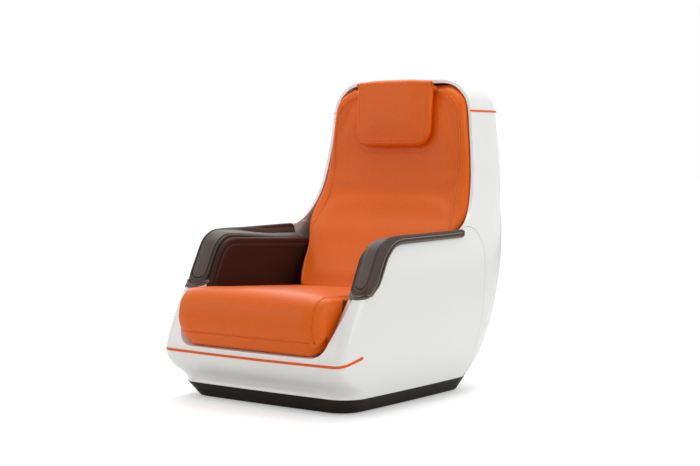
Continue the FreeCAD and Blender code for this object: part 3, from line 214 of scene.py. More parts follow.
def mesh_object(name, points, faces):
    mesh = bpy.data.meshes.new(name)
    mesh.from_pydata([tuple(p) for p in np.asarray(points, float) * MM], [], faces)
    mesh.validate()
    mesh.update()
    mesh.shade_smooth()
    obj = bpy.data.objects.new(name, mesh)
    bpy.context.scene.collection.objects.link(obj)
    return obj


def soft_step(value, low, high):
    t = np.clip((value - low) / (high - low), 0, 1)
    return t * t * (3 - 2 * t)


def bell(distance, width):
    return np.exp(-((distance / width) ** 2))


def groove(distance, depth, width):
    """How far a surface sinks near a sewn seam, with the leather raised a little on each side of it."""
    return -depth * bell(distance, width) + depth * 0.35 * bell(np.abs(distance) - width * 2.4, width * 1.3)


def edge_drop(away, radius):
    """How far a surface falls at a place near an edge that is rounded with a radius."""
    near = np.clip(radius - away, 0, radius)
    return radius - np.sqrt(np.maximum(radius**2 - near**2, 0))


def placed(obj, body, slot, material, *nodes):
    obj.data.materials.append(material)
    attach(obj, body)
    if nodes:
        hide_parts(*nodes)
    return obj


# ---------------- materials


def set_inputs(tree, target, inputs):
    """Gives a node's inputs their values, or links them where the value is another node's output."""
    for name, value in inputs.items():
        if isinstance(value, bpy.types.NodeSocket):
            tree.links.new(value, target.inputs[name])
        else:
            target.inputs[name].default_value = value


def new_node(tree, kind, inputs, **settings):
    made = tree.nodes.new("ShaderNode" + kind)
    for name, value in settings.items():
        setattr(made, name, value)
    set_inputs(tree, made, inputs)
    return made


def new_material(name):
    material = bpy.data.materials.new(name)
    material.use_nodes = True
    return material, material.node_tree, material.node_tree.nodes["Principled BSDF"]


def linear(colour):
    """A linear colour from one written in the usual 0 to 255 values."""
    shares = [value / 255 for value in colour]
    return [s / 12.92 if s <= 0.04045 else ((s + 0.055) / 1.055) ** 2.4 for s in shares]


def noise(tree, place, scale, detail):
    return new_node(tree, "TexNoise", {"Vector": place, "Scale": scale, "Detail": detail}).outputs["Fac"]


def toned(tree, share, colour, variation):
    """A colour that wanders between a darker and a lighter tone."""
    dark, light = [(*(min(1.0, c * (1 + way * variation)) for c in linear(colour)), 1.0) for way in (-1, 1)]
    return new_node(tree, "Mix", {"Factor": share, 6: dark, 7: light}, data_type="RGBA").outputs[2]


def ranged(tree, share, low, high):
    return new_node(tree, "MapRange", {"Value": share, "To Min": low, "To Max": high}).outputs["Result"]


def relief(tree, height, strength, distance):
    inputs = {"Height": height, "Strength": strength, "Distance": distance}
    return new_node(tree, "Bump", inputs).outputs["Normal"]


def leather(name, colour, roughness, variation=0.10, gloss=0.5):
    """Leather with broad patches, fine mottling, and a grain of cells and creases."""
    material, tree, shader = new_material(name)
    place = new_node(tree, "TexCoord", {}).outputs["Object"]
    patch = noise(tree, place, scale=7.0, detail=3.0)
    tone = toned(tree, patch, colour, variation)
    fine = noise(tree, place, scale=120.0, detail=4.0)
    mottle = new_node(tree, "Mix", {"Factor": 0.18, 6: tone, 7: fine}, data_type="RGBA", blend_type="MULTIPLY")
    cells = new_node(tree, "TexVoronoi", {"Vector": place, "Scale": 900.0}).outputs["Distance"]
    creases = noise(tree, place, scale=315.0, detail=5.0)
    height = new_node(tree, "Math", {0: cells, 1: 0.6, 2: creases}, operation="MULTIPLY_ADD").outputs["Value"]
    looks = {
        "Base Color": mottle.outputs[2],
        "Roughness": ranged(tree, patch, roughness - 0.05, roughness + 0.07),
        "Normal": relief(tree, height, strength=0.10, distance=0.0006),
        "Specular IOR Level": gloss,
    }
    set_inputs(tree, shader, looks)
    return material


def moulded(name, colour, roughness, metallic=0.0, coat=0.0, bump=0.04, scale=260.0, variation=0.03, gloss=0.5):
    """A hard material with a faint change of tone and a fine relief."""
    material, tree, shader = new_material(name)
    place = new_node(tree, "TexCoord", {}).outputs["Object"]
    broad = noise(tree, place, scale=4.0, detail=2.0)
    looks = {
        "Base Color": toned(tree, broad, colour, variation),
        "Roughness": ranged(tree, broad, roughness - 0.03, roughness + 0.03),
        "Normal": relief(tree, noise(tree, place, scale, detail=3.0), bump, distance=0.0004),
        "Metallic": metallic,
        "Specular IOR Level": gloss,
        "Coat Weight": coat,
        "Coat Roughness": 0.08,
    }
    set_inputs(tree, shader, looks)
    return material


orange = leather("orange leather", (236, 104, 12), roughness=0.38, variation=0.05, gloss=0.25)
brown = leather("brown leather", (70, 56, 49), roughness=0.46, gloss=0.3)
taupe = leather("taupe leather", (84, 70, 63), roughness=0.48, gloss=0.35)
lining_leather = leather("dark brown leather", (52, 26, 17), roughness=0.50, gloss=0.2)
# The back seam's piping is orange leather, coloured lighter than the cushion as a painted highlight along the bead
highlight_piping = leather("orange piping with painted highlight", (246, 132, 48), roughness=0.4, variation=0.03)
piping = leather("piping", (136, 120, 110), roughness=0.45, variation=0.04)
thread = leather("thread", (120, 92, 80), roughness=0.6, variation=0.04)
white = moulded("white gloss", (236, 236, 233), roughness=0.24, coat=0.5, bump=0.015, scale=60.0, variation=0.01)

by_slot = {
    "white_gloss": white,
    "orange_trim": moulded("orange trim", (236, 92, 8), roughness=0.40, gloss=0.2),
    "orange_leather": orange,
    "brown_leather": brown,
    "taupe_leather": taupe,
    "dark_brown_leather": lining_leather,
    "plinth_plastic": moulded("dark brown plastic", (32, 24, 19), roughness=0.50, bump=0.12, scale=900.0, gloss=0.25),
    "black_plastic": moulded("black plastic", (28, 28, 29), roughness=0.45, bump=0.10, scale=700.0),
    "rocker_plastic": moulded("rocker plastic", (34, 34, 35), roughness=0.30),
    "foot_rubber": moulded("foot rubber", (30, 29, 28), roughness=0.75, bump=0.15),
    "frame_paint": moulded("frame paint", (44, 45, 47), roughness=0.48, bump=0.20, scale=420.0),
    "steel": moulded("bright steel", (176, 177, 178), roughness=0.28, metallic=1.0),
    "motor_steel": moulded("motor steel", (140, 142, 144), roughness=0.40, metallic=1.0),
    "belt_rubber": moulded("belt rubber", (24, 24, 24), roughness=0.70, bump=0.15),
    "roller_rubber": moulded("roller rubber", (58, 58, 60), roughness=0.62, bump=0.10),
    "board_wood": moulded("board wood", (176, 142, 100), roughness=0.65, bump=0.20, scale=90.0, variation=0.12),
    "cell_rubber": moulded("cell rubber", (40, 40, 42), roughness=0.60),
}

slot_of = {entry["node"]: entry["material_slot"] for entry in frame["record"]["subparts"]}
for node, obj in frame["nodes"].items():
    obj.data.materials.clear()
    obj.data.materials.append(by_slot.get(slot_of.get(node), white))

# ---------------- padded pieces


def pad_mesh(face, back, wall_steps=4):
    """Points and faces of a closed pad: a face grid, a back grid of the same shape and a wall round both."""
    rows, columns, _ = face.shape
    size = rows * columns
    points = [face.reshape(-1, 3), back.reshape(-1, 3)]
    grid = np.arange(size).reshape(rows, columns)
    faces = [(a, a + 1, a + columns + 1, a + columns) for a in grid[:-1, :-1].reshape(-1).tolist()]
    faces += [tuple(size + a for a in quad[::-1]) for quad in faces]
    rim = np.concatenate([grid[0], grid[1:, -1], grid[-1, -2::-1], grid[-2:0:-1, 0]]).tolist()
    top, low = points[0][rim], points[1][rim]
    rings = [rim]
    for step in range(1, wall_steps):
        share = step / wall_steps
        points.append(top * (1 - share) + low * share)
        start = 2 * size + (step - 1) * len(rim)
        rings.append(list(range(start, start + len(rim))))
    rings.append([size + a for a in rim])
    for upper, lower in zip(rings, rings[1:]):
        for k in range(len(rim)):
            n = (k + 1) % len(rim)
            faces.append((upper[k], lower[k], lower[n], upper[n]))
    return np.vstack(points), faces


def inflated(face, back, held, pressure, most, every=(4, 4), frames=20):
    """How far a pad's face moves when its cover is filled, worked out as cloth on a coarser grid."""
    rows, columns = held.shape
    row_at = np.unique(np.r_[np.arange(0, rows, every[0]), rows - 1])
    column_at = np.unique(np.r_[np.arange(0, columns, every[1]), columns - 1])
    coarse, coarse_back, grip = (grid[np.ix_(row_at, column_at)] for grid in (face, back, held))
    points, faces = pad_mesh(coarse, coarse_back, wall_steps=2)
    obj = mesh_object("cover", points, faces)
    group = obj.vertex_groups.new(name="held")
    count = coarse.shape[0] * coarse.shape[1]
    for k, weight in enumerate(grip.reshape(-1)):
        if weight > 0:
            group.add([k], float(weight), "REPLACE")
    group.add(list(range(count, len(points))), 1.0, "REPLACE")
    cloth = obj.modifiers.new("cover", "CLOTH")
    settings = cloth.settings
    settings.quality = 6
    settings.mass = 0.4
    settings.tension_stiffness = 25
    settings.compression_stiffness = 25
    settings.shear_stiffness = 12
    settings.bending_stiffness = 4
    settings.use_pressure = True
    settings.uniform_pressure_force = pressure
    settings.vertex_group_mass = "held"
    settings.effector_weights.gravity = 0.0
    cloth.point_cache.frame_start = 1
    cloth.point_cache.frame_end = frames
    scene = bpy.context.scene
    for step in range(1, frames + 1):
        scene.frame_set(step)
    shape = obj.evaluated_get(bpy.context.evaluated_depsgraph_get()).to_mesh()
    moved = np.zeros(len(shape.vertices) * 3)
    shape.vertices.foreach_get("co", moved)
    moved = moved.reshape(-1, 3)[:count] / MM - points[:count]
    scene.frame_set(1)
    bpy.data.objects.remove(obj)
    length = np.linalg.norm(moved, axis=1, keepdims=True)
    length[length == 0] = 1
    moved = moved / length * np.minimum(length, most)
    moved = moved.reshape(coarse.shape)
    row_place = np.interp(np.arange(rows), row_at, np.arange(len(row_at)))
    column_place = np.interp(np.arange(columns), column_at, np.arange(len(column_at)))
    return refined(moved, row_place, column_place)


def pad_normals(face):
    normals = np.cross(np.gradient(face, axis=1), np.gradient(face, axis=0))
    length = np.linalg.norm(normals, axis=2, keepdims=True)
    length[length == 0] = 1
    return normals / length


def line_distance(x, y, line, closed=False):
    """The distance of each place to a polyline in the same plane."""
    points = np.stack([x, y], axis=-1)
    if closed:
        line = np.vstack([line, line[:1]])
    best = np.full(points.shape[:-1], 1e9)
    for a, b in zip(line[:-1], line[1:]):
        d = b - a
        t = np.clip(((points - a) @ d) / max(d @ d, 1e-9), 0, 1)
        best = np.minimum(best, np.linalg.norm(points - a - t[..., None] * d, axis=-1))
    return best


# Along a stitch: a place, how wide the thread is there and how high it lies
stitch_stations = (
    (-0.5, 0.25, -0.35), (-0.32, 0.85, 0.25), (0.0, 1.0, 0.55), (0.32, 0.85, 0.25), (0.5, 0.25, -0.35),
)


def threads(name, path, normals, pitch, length, radius, body, slot, material):
    """A row of short stitches that lie on a surface along a path."""
    lengths = path_lengths(path)
    count = max(2, int(lengths[-1] / pitch))
    at = (np.arange(count) + 0.5) * lengths[-1] / count
    middle = along_line(path, lengths, at)
    up = unit(along_line(normals, lengths, at))
    along = unit(along_line(path, lengths, at + 0.5) - along_line(path, lengths, at - 0.5))
    side = np.cross(along, up)
    around = 6
    points, faces = [], []
    for k in range(count):
        start = len(points)
        for share, wide, lift in stitch_stations:
            for turn in range(around):
                angle = 2 * math.pi * turn / around
                points.append(
                    middle[k]
                    + along[k] * share * length
                    + side[k] * math.cos(angle) * radius * wide
                    + up[k] * (math.sin(angle) * radius * wide + lift * radius)
                )
        last = len(points) - around
        for ring in range(start, last, around):
            for turn in range(around):
                a = ring + turn
                b = ring + (turn + 1) % around
                faces.append((a, b, b + around, a + around))
        faces.append(tuple(range(start, start + around))[::-1])
        faces.append(tuple(range(last, last + around)))
    return placed(mesh_object(name, points, faces), body, slot, material)


def tube_along(name, path, radius, body, slot, material, around=8):
    """A thin round bead along a path, its ends closed by a fan."""
    tangent = unit(np.gradient(path, axis=0))
    normal = np.cross(tangent[0], (0.3, 0.5, 0.8))
    turn = np.linspace(0, 2 * math.pi, around, endpoint=False)
    rings = []
    for here, ahead in zip(path, tangent):
        normal = normal - ahead * (normal @ ahead)
        normal /= np.linalg.norm(normal)
        other = np.cross(ahead, normal)
        rings.append(here + radius * (np.cos(turn)[:, None] * normal + np.sin(turn)[:, None] * other))
    last = (len(rings) - 1) * around
    faces = []
    for j in range(around):
        k = (j + 1) % around
        faces += [(i + j, i + around + j, i + around + k, i + k) for i in range(0, last, around)]
        faces += [(j, k, last + around), (last + k, last + j, last + around + 1)]
    points = np.vstack([*rings, rings[0].mean(axis=0), rings[-1].mean(axis=0)])
    return placed(mesh_object(name, points, faces), body, slot, material)


# ---------------- seat cushion

# Points on each leg and arc of the seat's side profile, from under its front edge to its heel
seat_leg_points = (4, 10, 44, 34, 8, 30, 110, 12, 8)
seat_arc_steps = 10


def seat_row_line(line):
    """The profile's points, each leg and arc with its own fixed count, so that the rows run straight across."""
    lengths = path_lengths(line)
    marks = [0]
    for _ in range(4):
        marks += [marks[-1] + 1, marks[-1] + 1 + seat_arc_steps]
    marks.append(marks[-1] + 1)
    at = []
    for a, b, count in zip(marks, marks[1:], seat_leg_points):
        at.extend(np.linspace(lengths[a], lengths[b], count, endpoint=False))
    at.append(lengths[-1])
    return along_line(line, lengths, at)


def before_wings(face):
    """How far a place of the seat lies in front of the body's open edge, from none to all."""
    (low, low_reach), (high, high_reach) = seat_wing_line
    edge = low_reach + (face[..., 2] - low) / (high - low) * (high_reach - low_reach)
    return soft_step(-face[..., 1] - edge, 2, 34)


def seat_grid():
    """The seat cushion's front and upper surface: rows from under its front edge to its heel, columns across."""
    flat = seat_half - seat_corner_width
    right = list(np.linspace(0, flat, 52)) + [
        flat + seat_corner_width * math.sin(turn) for turn in quarter_turn(30)[1:]
    ]
    right += list(np.arange(seat_seam_x - 7, seat_seam_x + 7.1, 1.4))
    right = np.unique(np.round(right, 3))
    columns = []
    for place in np.concatenate([-right[:0:-1], right]):
        turn = math.asin(min(1.0, max(0.0, (abs(place) - flat) / seat_corner_width)))
        draw = seat_corner_depth * (1 - math.cos(turn))
        crown = seat_crown * (1 - (place / seat_half) ** 2)
        reach = max(0.0, abs(place) - (seat_half - seat_lower_round))
        lift = seat_lower_round - math.sqrt(max(0.0, seat_lower_round**2 - reach**2))
        easing = 1 - seat_corner_easing * draw / seat_corner_depth
        corners = [
            (seat_foot[0] + draw + 55, seat_bottom + lift, 0),
            (seat_foot[0] + draw, seat_bottom + lift, seat_foot[1]),
            (seat_bulge[0] + draw, seat_bulge[1], seat_bulge[2] * easing),
            (seat_brow[0] + draw, seat_brow[1] - draw * seat_corner_drop + crown, seat_brow[2] * easing),
            (seat_heel[0] - draw / 4, seat_heel[1] - draw / 6 + crown / 2, seat_heel[2]),
            (seat_heel[0] - draw / 4, seat_heel_low, 0),
        ]
        line = seat_row_line(rounded(corners, arc_steps=seat_arc_steps))
        columns.append(np.column_stack([np.full(len(line), place), line]))
    face = np.stack(columns, axis=1)
    face[..., 0] *= 1 + seat_wing_share * before_wings(face)
    return face


def seat_piece():
    face = seat_grid()
    back = face.copy()
    back[..., 0] *= 0.985
    back[..., 1] = np.clip(face[..., 1], seat_foot[0] + 45, seat_heel[0] - 20)
    base = np.repeat(face[:1, :, 2] + 0.5, len(face), axis=0)
    back[..., 2] = np.where(back[..., 1] < seat_step_y, base, np.maximum(base, seat_board_top))
    back[..., 2] = np.minimum(back[..., 2], np.maximum(face[..., 2], base))
    seam = np.abs(np.abs(face[..., 0]) / (1 + seat_wing_share * before_wings(face)) - seat_seam_x)
    low = np.abs(face[..., 2] - seat_seam_z)
    ahead = face[..., 1] < seat_ahead_y
    held = np.where((seam < 3) | (ahead & (low < 4)), 1.0, 0.0)
    held[(face[..., 2] < seat_held_z) | (face[..., 1] > seat_held_y)] = 1.0
    held[:, 0] = held[:, -1] = 1.0
    face = face + inflated(face, back, held, pressure=6, most=7)
    normals = pad_normals(face)
    side_line = np.where(face[..., 2] > seat_seam_z - 1, seam, np.hypot(seam, face[..., 2] - seat_seam_z))
    front_line = np.where(np.abs(face[..., 0]) < seat_seam_x, low, np.hypot(seam, low))
    front_line = np.where(ahead, front_line, 1e3)
    sink = (
        groove(side_line, depth=3.2, width=1.9)
        + groove(side_line - 4.5, depth=1.2, width=1.3)
        + groove(front_line, depth=3.2, width=1.7)
    )
    obj = mesh_object("seat_leather", *pad_mesh(face + normals * sink[..., None], back))
    placed(obj, "chair", "orange_leather", orange, "seat_cushion")


seat_piece()

# ---------------- back cushion


def back_outline():
    """The back cushion's outline in the front view, from its right foot over the top to its left foot."""
    z = np.linspace(back_bottom - 60, back_top, 220)
    right = np.column_stack([rows_value(back_half_rows, z), z])
    return np.vstack([right, right[::-1] * (-1, 1)])


back_edge = back_outline()


def back_seam(step):
    """The seam's line in the front view, moved inwards by a step, on the right half."""
    z = np.linspace(back_seam_rows[0][0], back_seam_rows[-1][0], 140)
    return np.column_stack([rows_value(back_seam_rows, z) - step, z - step * soft_step(z, 880, 970)])


def back_front(x, z, edge=None):
    """How far back the cushion's front face lies at a place in the front view."""
    half = rows_value(back_half_rows, z)
    away = line_distance(x, z, back_edge) if edge is None else edge
    roll = edge_drop(away, back_roll)
    return rows_value(back_front_rows, z) + rows_value(back_crown_rows, z) * (x / half) ** 2 + roll


def back_piece():
    ease = np.sin(quarter_turn(46)[1:])
    main = np.linspace(back_bottom, back_top - back_top_reach, 240)
    z = np.concatenate([main, back_top - back_top_reach * (1 - ease)])
    right = np.concatenate([np.linspace(0, back_edge_share, 40), back_edge_share + (1 - back_edge_share) * ease])
    share = np.concatenate([-right[:0:-1], right])
    x = rows_value(back_half_rows, z)[:, None] * share[None, :]
    zz = np.repeat(z[:, None], len(share), axis=1)
    away = line_distance(x, zz, back_edge)
    face = np.stack([x, back_front(x, zz, away), zz], axis=-1)
    back = face.copy()
    plane = back_plane[0] + (zz - back_plane[1]) * math.tan(math.radians(back_lean))
    back[..., 1] = np.maximum(plane, face[..., 1].max(axis=1, keepdims=True) + 4)
    back[..., 1] = np.minimum(back[..., 1], plane.max() + 8)
    back[..., 0] *= 0.99
    outer_seam = line_distance(np.abs(x), zz, back_seam(0))
    inner_seam = line_distance(np.abs(x), zz, back_seam(back_seam_step))
    rest_seam = line_distance(x, zz, rounded(rest_line))
    held = np.where((outer_seam < 3.5) | (zz < 365) | (away < 8), 1.0, 0.0)
    face = face + inflated(face, back, held, pressure=3, most=6, every=(8, 4))
    normals = pad_normals(face)
    sink = (
        groove(outer_seam, depth=2.6, width=1.9)
        + groove(inner_seam, depth=1.0, width=1.4)
        + groove(rest_seam, depth=1.6, width=1.6)
    )
    obj = mesh_object("back_leather", *pad_mesh(face + normals * sink[..., None], back))
    placed(obj, "chair", "orange_leather", orange, "back_cushion")
    half_line = back_seam(0)
    line = resample(np.vstack([half_line, half_line[::-1] * (-1, 1)]), 500)
    line = line[line[:, 1] > back_bottom + 4]
    bead = np.column_stack([line[:, 0], back_front(line[:, 0], line[:, 1]) - 0.5, line[:, 1]])
    # The bead's lighter orange is painted highlight
    tube_along("back_piping", bead, 1.2, "chair", "orange_leather", highlight_piping)


back_piece()

# ---------------- head pillow

pillow_half = 155.5
pillow_low = 797.0
pillow_high = 1021.5
# Behind its front ridge the pillow falls to the height of its hinge, so that it clears the hood when it turns up
pillow_fold = (262.5, 266.5)
pillow_fold_rounds = (6.0, 5.0)
pillow_hinge_top = 1002.5
pillow_corner = 60.0
pillow_round = 15.0
pillow_top_round = 16.0
pillow_rear = 285.0
pillow_front = (223.0, 240.0)
pillow_tuck = 13.0
pillow_swell = 5.0
pillow_inset = 4.0
pillow_gap = 1.2


def pillow_piece():
    corners = [
        (pillow_front[0], pillow_low, 0),
        (pillow_front[1], pillow_high, pillow_top_round),
        (pillow_fold[0], pillow_high, pillow_fold_rounds[0]),
        (pillow_fold[1], pillow_hinge_top, pillow_fold_rounds[1]),
        (pillow_rear, pillow_hinge_top, 0),
    ]
    path = rounded(corners, arc_steps=16)
    lengths = path_lengths(path)
    s = np.concatenate(
        [pillow_corner * (1 - np.cos(quarter_turn(34))), np.linspace(pillow_corner, lengths[-1], 130)[1:]]
    )
    half = pillow_half - edge_drop(s, pillow_corner)
    share = edge_spaced(121, squeeze=0.35)
    x = half[:, None] * share[None, :]
    ss = np.repeat(s[:, None], len(share), axis=1)
    edge = np.column_stack([half, s])
    top = lengths[-1] + 200
    edge = np.vstack([[(half[-1], top)], edge[::-1], edge * (-1, 1), [(-half[-1], top)]])
    away = line_distance(x, ss, edge)
    y = np.interp(ss, lengths, path[:, 0])
    z = np.interp(ss, lengths, path[:, 1])
    base = np.stack([x, y, z], axis=-1)
    normals = pad_normals(base)
    swell = pillow_swell * soft_step(away, 6, 90)
    face = base + normals * (swell - pillow_inset - edge_drop(away, pillow_round))[..., None]
    behind = back_front(np.clip(x, -200, 200), np.clip(z, 346, 985)) - pillow_gap
    back = face.copy()
    back[..., 1] = np.minimum(np.maximum(face[..., 1] + 2, behind), pillow_rear)
    above = pillow_hinge_top - 6
    back[..., 2] = np.minimum(face[..., 2], above)
    back[..., 0] *= (pillow_half - pillow_tuck) / pillow_half
    back[..., 2] = above - (above - back[..., 2]) * (1 - pillow_tuck / (above - pillow_low))
    seam = groove(away - 15.0, depth=1.5, width=1.7) + groove(away - 19.0, depth=0.6, width=1.2)
    obj = mesh_object("pillow_leather", *pad_mesh(face + normals * seam[..., None], back, wall_steps=6))
    placed(obj, "head_pillow", "orange_leather", orange, "head_pillow")


pillow_piece()

flap_half = 109.0
flap_top = ((287.6, 985.5, 0), (287.6, 1000.5, 4.0), (316.5, 1006.0, 0))
flap_low = ((292.0, 985.5, 0), (294.0, 994.5, 3.0), (316.5, 1001.0, 0))
flap_roll = 2.0


def flap_piece():
    x = flap_half * edge_spaced(81, squeeze=1)
    tuck = (edge_drop(flap_half - np.abs(x), flap_roll) / flap_roll)[None, :, None]
    sides = []
    for corners in (flap_top, flap_low):
        line = resample(rounded(corners), 24)
        sides.append(np.stack([np.column_stack([np.full(len(line), place), line]) for place in x], axis=1))
    middle = (sides[0] + sides[1]) / 2
    sheets = [(sheet * (1 - tuck / 2) + middle * tuck / 2)[:, ::-1] for sheet in sides]
    obj = mesh_object("pillow_flap_leather", *pad_mesh(*sheets, wall_steps=3))
    placed(obj, "chair", "orange_leather", orange, "pillow_flap")


flap_piece()

# ---------------- arms

cap_inner = 291.3
cap_outer = 362.7
cap_tip = (-404.0, 350.0)
cap_corner = (-313.0, 522.0)
cap_rear = (132.5, 528.0)
cap_inner_shift = ((26.0, 4.0), (6.0, -20.0), (0.0, -48.0))
cap_bend = 90.0
cap_tip_radius = 30.0
cap_front_thickness = 34.0
cap_top_thickness = 22.0
cap_edge = 5.0
cap_front_edge = 12.0
cap_lip = 12.0
cap_rear_round = 9.0
# Places across the cap and how far its surface has dropped there, from none at its outer edge to all:
# on the slanted front it is a shallow cushion, and behind the bend it lies below a wall
cap_front_rows = [
    (291, 1), (293, 0.82), (296, 0.64), (300, 0.50), (310, 0.38), (322, 0.27), (334, 0.17), (345, 0.08),
    (352, 0.03), (358, 0), (363, 0),
]
cap_rear_rows = [
    (291, 1), (300, 0.90), (312, 0.79), (324, 0.71), (334, 0.66), (339, 0.60), (344, 0.33), (348, 0.08),
    (352, 0), (363, 0),
]
cap_lines = 40
cap_line_steps = 240
# Where one form gives way to another: shares of the cap's length, or mm from its tip and across it
cap_turn_shares = (0.30, 0.78)
cap_roll_shares = (0.30, 0.50)
cap_roll_across = (330, 345)
cap_depth_shares = (0.25, 0.42)
cap_lip_shares = (0.30, 0.45)
cap_lip_start = (30, 62)
cap_lip_across = (358.8, 359.6)
# The leather rises beside the inlay and in a ridge along the outer edge: height, width and place
cap_swell = (1.2, 4.0, 6.5)
cap_ridge = (1.5, 3.0, 356.0)
cap_ridge_start = (12, 60)
cap_stitch_inset = 7.0
inlay_inner = 299.5
inlay_outer = 352.5
inlay_rear_outer = 336.0
inlay_start = 23.0
inlay_end_gap = 14.5
inlay_tip_radius = 25.0
inlay_depth = 4.6
inlay_proud = 0.4
inlay_edge_round = 3.4
inlay_crown = 1.6
# A dark brown leather sheet over the cap's rim wall behind the bend, inside the rim: painted shade, for the wall's
# inner face in shadow
wall_low = 338.5
wall_high = 350.5
wall_shares = (0.36, 0.60)
# Where the welt leaves the outer side, and its places from there round the tip to the lining
welt_turn = 70.0
welt_tip = [
    (361.5, -338, 381), (361.2, -350, 371), (360.8, -366, 359.5), (360, -382, 352), (357.5, -399, 348.5),
    (350, -414, 347.5), (341, -422.5, 347), (332, -425.5, 347), (322, -418.5, 347.5), (312, -410, 348),
    (305, -401, 349), (299, -393.5, 351.5), (292.5, -385, 356), (288, -375, 360.5), (286.8, -364, 366),
]
welt_radius = 3.2
welt_stitch_rise = 2.9
welt_stitch_step = 1.5
bead_points = 420
# A place inside the tip, away from which its leather and the welt's stitches face
tip_centre = (325.0, -330.0, 400.0)
tip_points = 90
tip_columns = 17
tip_thickness = 1.6
# The piping of the ridge: its height above the welt, and its column in the tip's leather, first and last
ridge_rise = 13
ridge_columns = (11.2, 12.0)
probe_reach = 40.0


def cap_line(drop):
    corners = []
    for (y, z), (shift_y, shift_z), radius in zip((cap_tip, cap_corner, cap_rear), cap_inner_shift, (0, cap_bend, 0)):
        corners.append((y + drop * shift_y, z + drop * shift_z, radius))
    return rounded(corners, arc_steps=24)


cap_middle_lengths = path_lengths(cap_line(0.5))
cap_length = cap_middle_lengths[-1]
# The tip, the start and the end of the bend, and the rear, as points of a cap line
cap_marks = [0, 1, -2, -1]


def cap_point_grid(x, s):
    """Points of the cap's plain top at places across it and along it, for a grid of both."""
    flat_x = x.reshape(-1)
    share = s.reshape(-1) / cap_length
    lines = []
    for drop in np.linspace(0, 1, cap_lines):
        line = cap_line(drop)
        lengths = path_lengths(line)
        marks = cap_middle_lengths[cap_marks] / cap_length
        at = np.interp(np.linspace(0, 1, cap_line_steps + 1), marks, lengths[cap_marks])
        lines.append(along_line(line, lengths, at))
    lines = np.stack(lines)
    turned = soft_step(share, *cap_turn_shares)
    drop = rows_value(cap_front_rows, flat_x) * (1 - turned) + rows_value(cap_rear_rows, flat_x) * turned
    drop = np.clip(drop, 0, 1) * (cap_lines - 1)
    place = share * cap_line_steps
    i = np.clip(np.floor(drop).astype(int), 0, cap_lines - 2)
    j = np.clip(np.floor(place).astype(int), 0, cap_line_steps - 1)
    a = (drop - i)[:, None]
    b = (place - j)[:, None]
    yz = (
        lines[i, j] * (1 - a) * (1 - b)
        + lines[i + 1, j] * a * (1 - b)
        + lines[i, j + 1] * (1 - a) * b
        + lines[i + 1, j + 1] * a * b
    )
    return np.column_stack([flat_x, yz]).reshape(*x.shape, 3)


def strip_grid(low_x, high_x, start, end, tip_radius, columns, rows):
    """Places x and s of a strip with a rounded start, how far each lies inside its edge, and that edge."""
    s = np.concatenate(
        [
            start + tip_radius * (1 - np.cos(quarter_turn(22))),
            np.linspace(start + tip_radius, end - 12, rows)[1:],
            end - 12 * (1 - np.sin(quarter_turn(8)[1:])),
        ]
    )
    middle, wide = (low_x + high_x) / 2, (high_x - low_x) / 2
    half = wide - edge_drop(s - start, tip_radius)
    x = middle + half[:, None] * edge_spaced(columns, squeeze=0.5)[None, :]
    ss = np.repeat(s[:, None], columns, axis=1)
    outline = np.vstack([np.column_stack([middle + half, s]), np.column_stack([middle - half, s])[::-1]])
    away = line_distance(x, ss, outline, closed=True)
    return x, ss, away, outline


def inlay_grid(inset, columns, rows):
    """The strip of the inlay, its edge moved inwards by an inset."""
    start, end = inlay_start + inset, cap_length - inlay_end_gap - inset
    return strip_grid(inlay_inner + inset, inlay_outer - inset, start, end, inlay_tip_radius - inset, columns, rows)


def inside_distance(x, s, outline):
    """Distance inside (above zero) or outside (below) a closed outline."""
    away = line_distance(x, s, outline, closed=True)
    inside = np.zeros(x.shape, bool)
    previous = outline[-1]
    for point in outline:
        crosses = (point[1] > s) != (previous[1] > s)
        with np.errstate(divide="ignore", invalid="ignore"):
            at = (previous[0] - point[0]) * (s - point[1]) / (previous[1] - point[1]) + point[0]
        inside ^= crosses & (x < at)
        previous = point
    return np.where(inside, away, -away)


def flipped(points):
    return points * (-1, 1, 1)


def side_mesh(name, points, faces, side):
    """A right-hand piece's mesh, or its mirror image on the left."""
    if side < 0:
        points = flipped(points)
        faces = [face[::-1] for face in faces]
    return mesh_object(name, points, faces)


def narrowed(x, s):
    """The inlay's places across the cap, its outer edge drawn in towards the rear, clear of the wall."""
    outer = inlay_outer + (inlay_rear_outer - inlay_outer) * soft_step(s / cap_length, *cap_turn_shares)
    return inlay_inner + (x - inlay_inner) * (outer - inlay_inner) / (inlay_outer - inlay_inner)


def smoothed(rows, count):
    """Rows averaged with their neighbours, the ends kept in place."""
    half = count // 2
    out = np.array(rows, float)
    for i in range(len(out)):
        reach = min(half, i, len(out) - 1 - i)
        out[i] = np.mean(rows[i - reach : i + reach + 1], axis=0)
    return out


def draped(points, clearance):
    """A grid of points over the arm's outer body, raised where the body's rim would come through."""
    shell = frame["nodes"]["right_side_shell"]
    corners = [shell.matrix_world @ v.co for v in shell.data.vertices]
    tree = BVHTree.FromPolygons(corners, [tuple(p.vertices) for p in shell.data.polygons])
    rise = np.zeros(points.shape[:-1])
    for place in np.ndindex(rise.shape):
        x, y, z = points[place]
        hit = tree.ray_cast(Vector((x, y, z + probe_reach)) * MM, Vector((0, 0, -1)), probe_reach * MM)[0]
        if hit is not None:
            rise[place] = hit.z / MM - z + clearance
    rows, columns = rise.shape
    for gather in (np.max, np.mean):
        wide = np.pad(rise, 2, mode="edge")
        parts = [wide[i : i + rows, j : j + columns] for i in range(5) for j in range(1, 4)]
        rise = gather(parts, axis=0)
    rise[:, 0] *= 0.5
    rise[:, -1] = 0
    return points + (0, 0, 1) * rise[..., None]


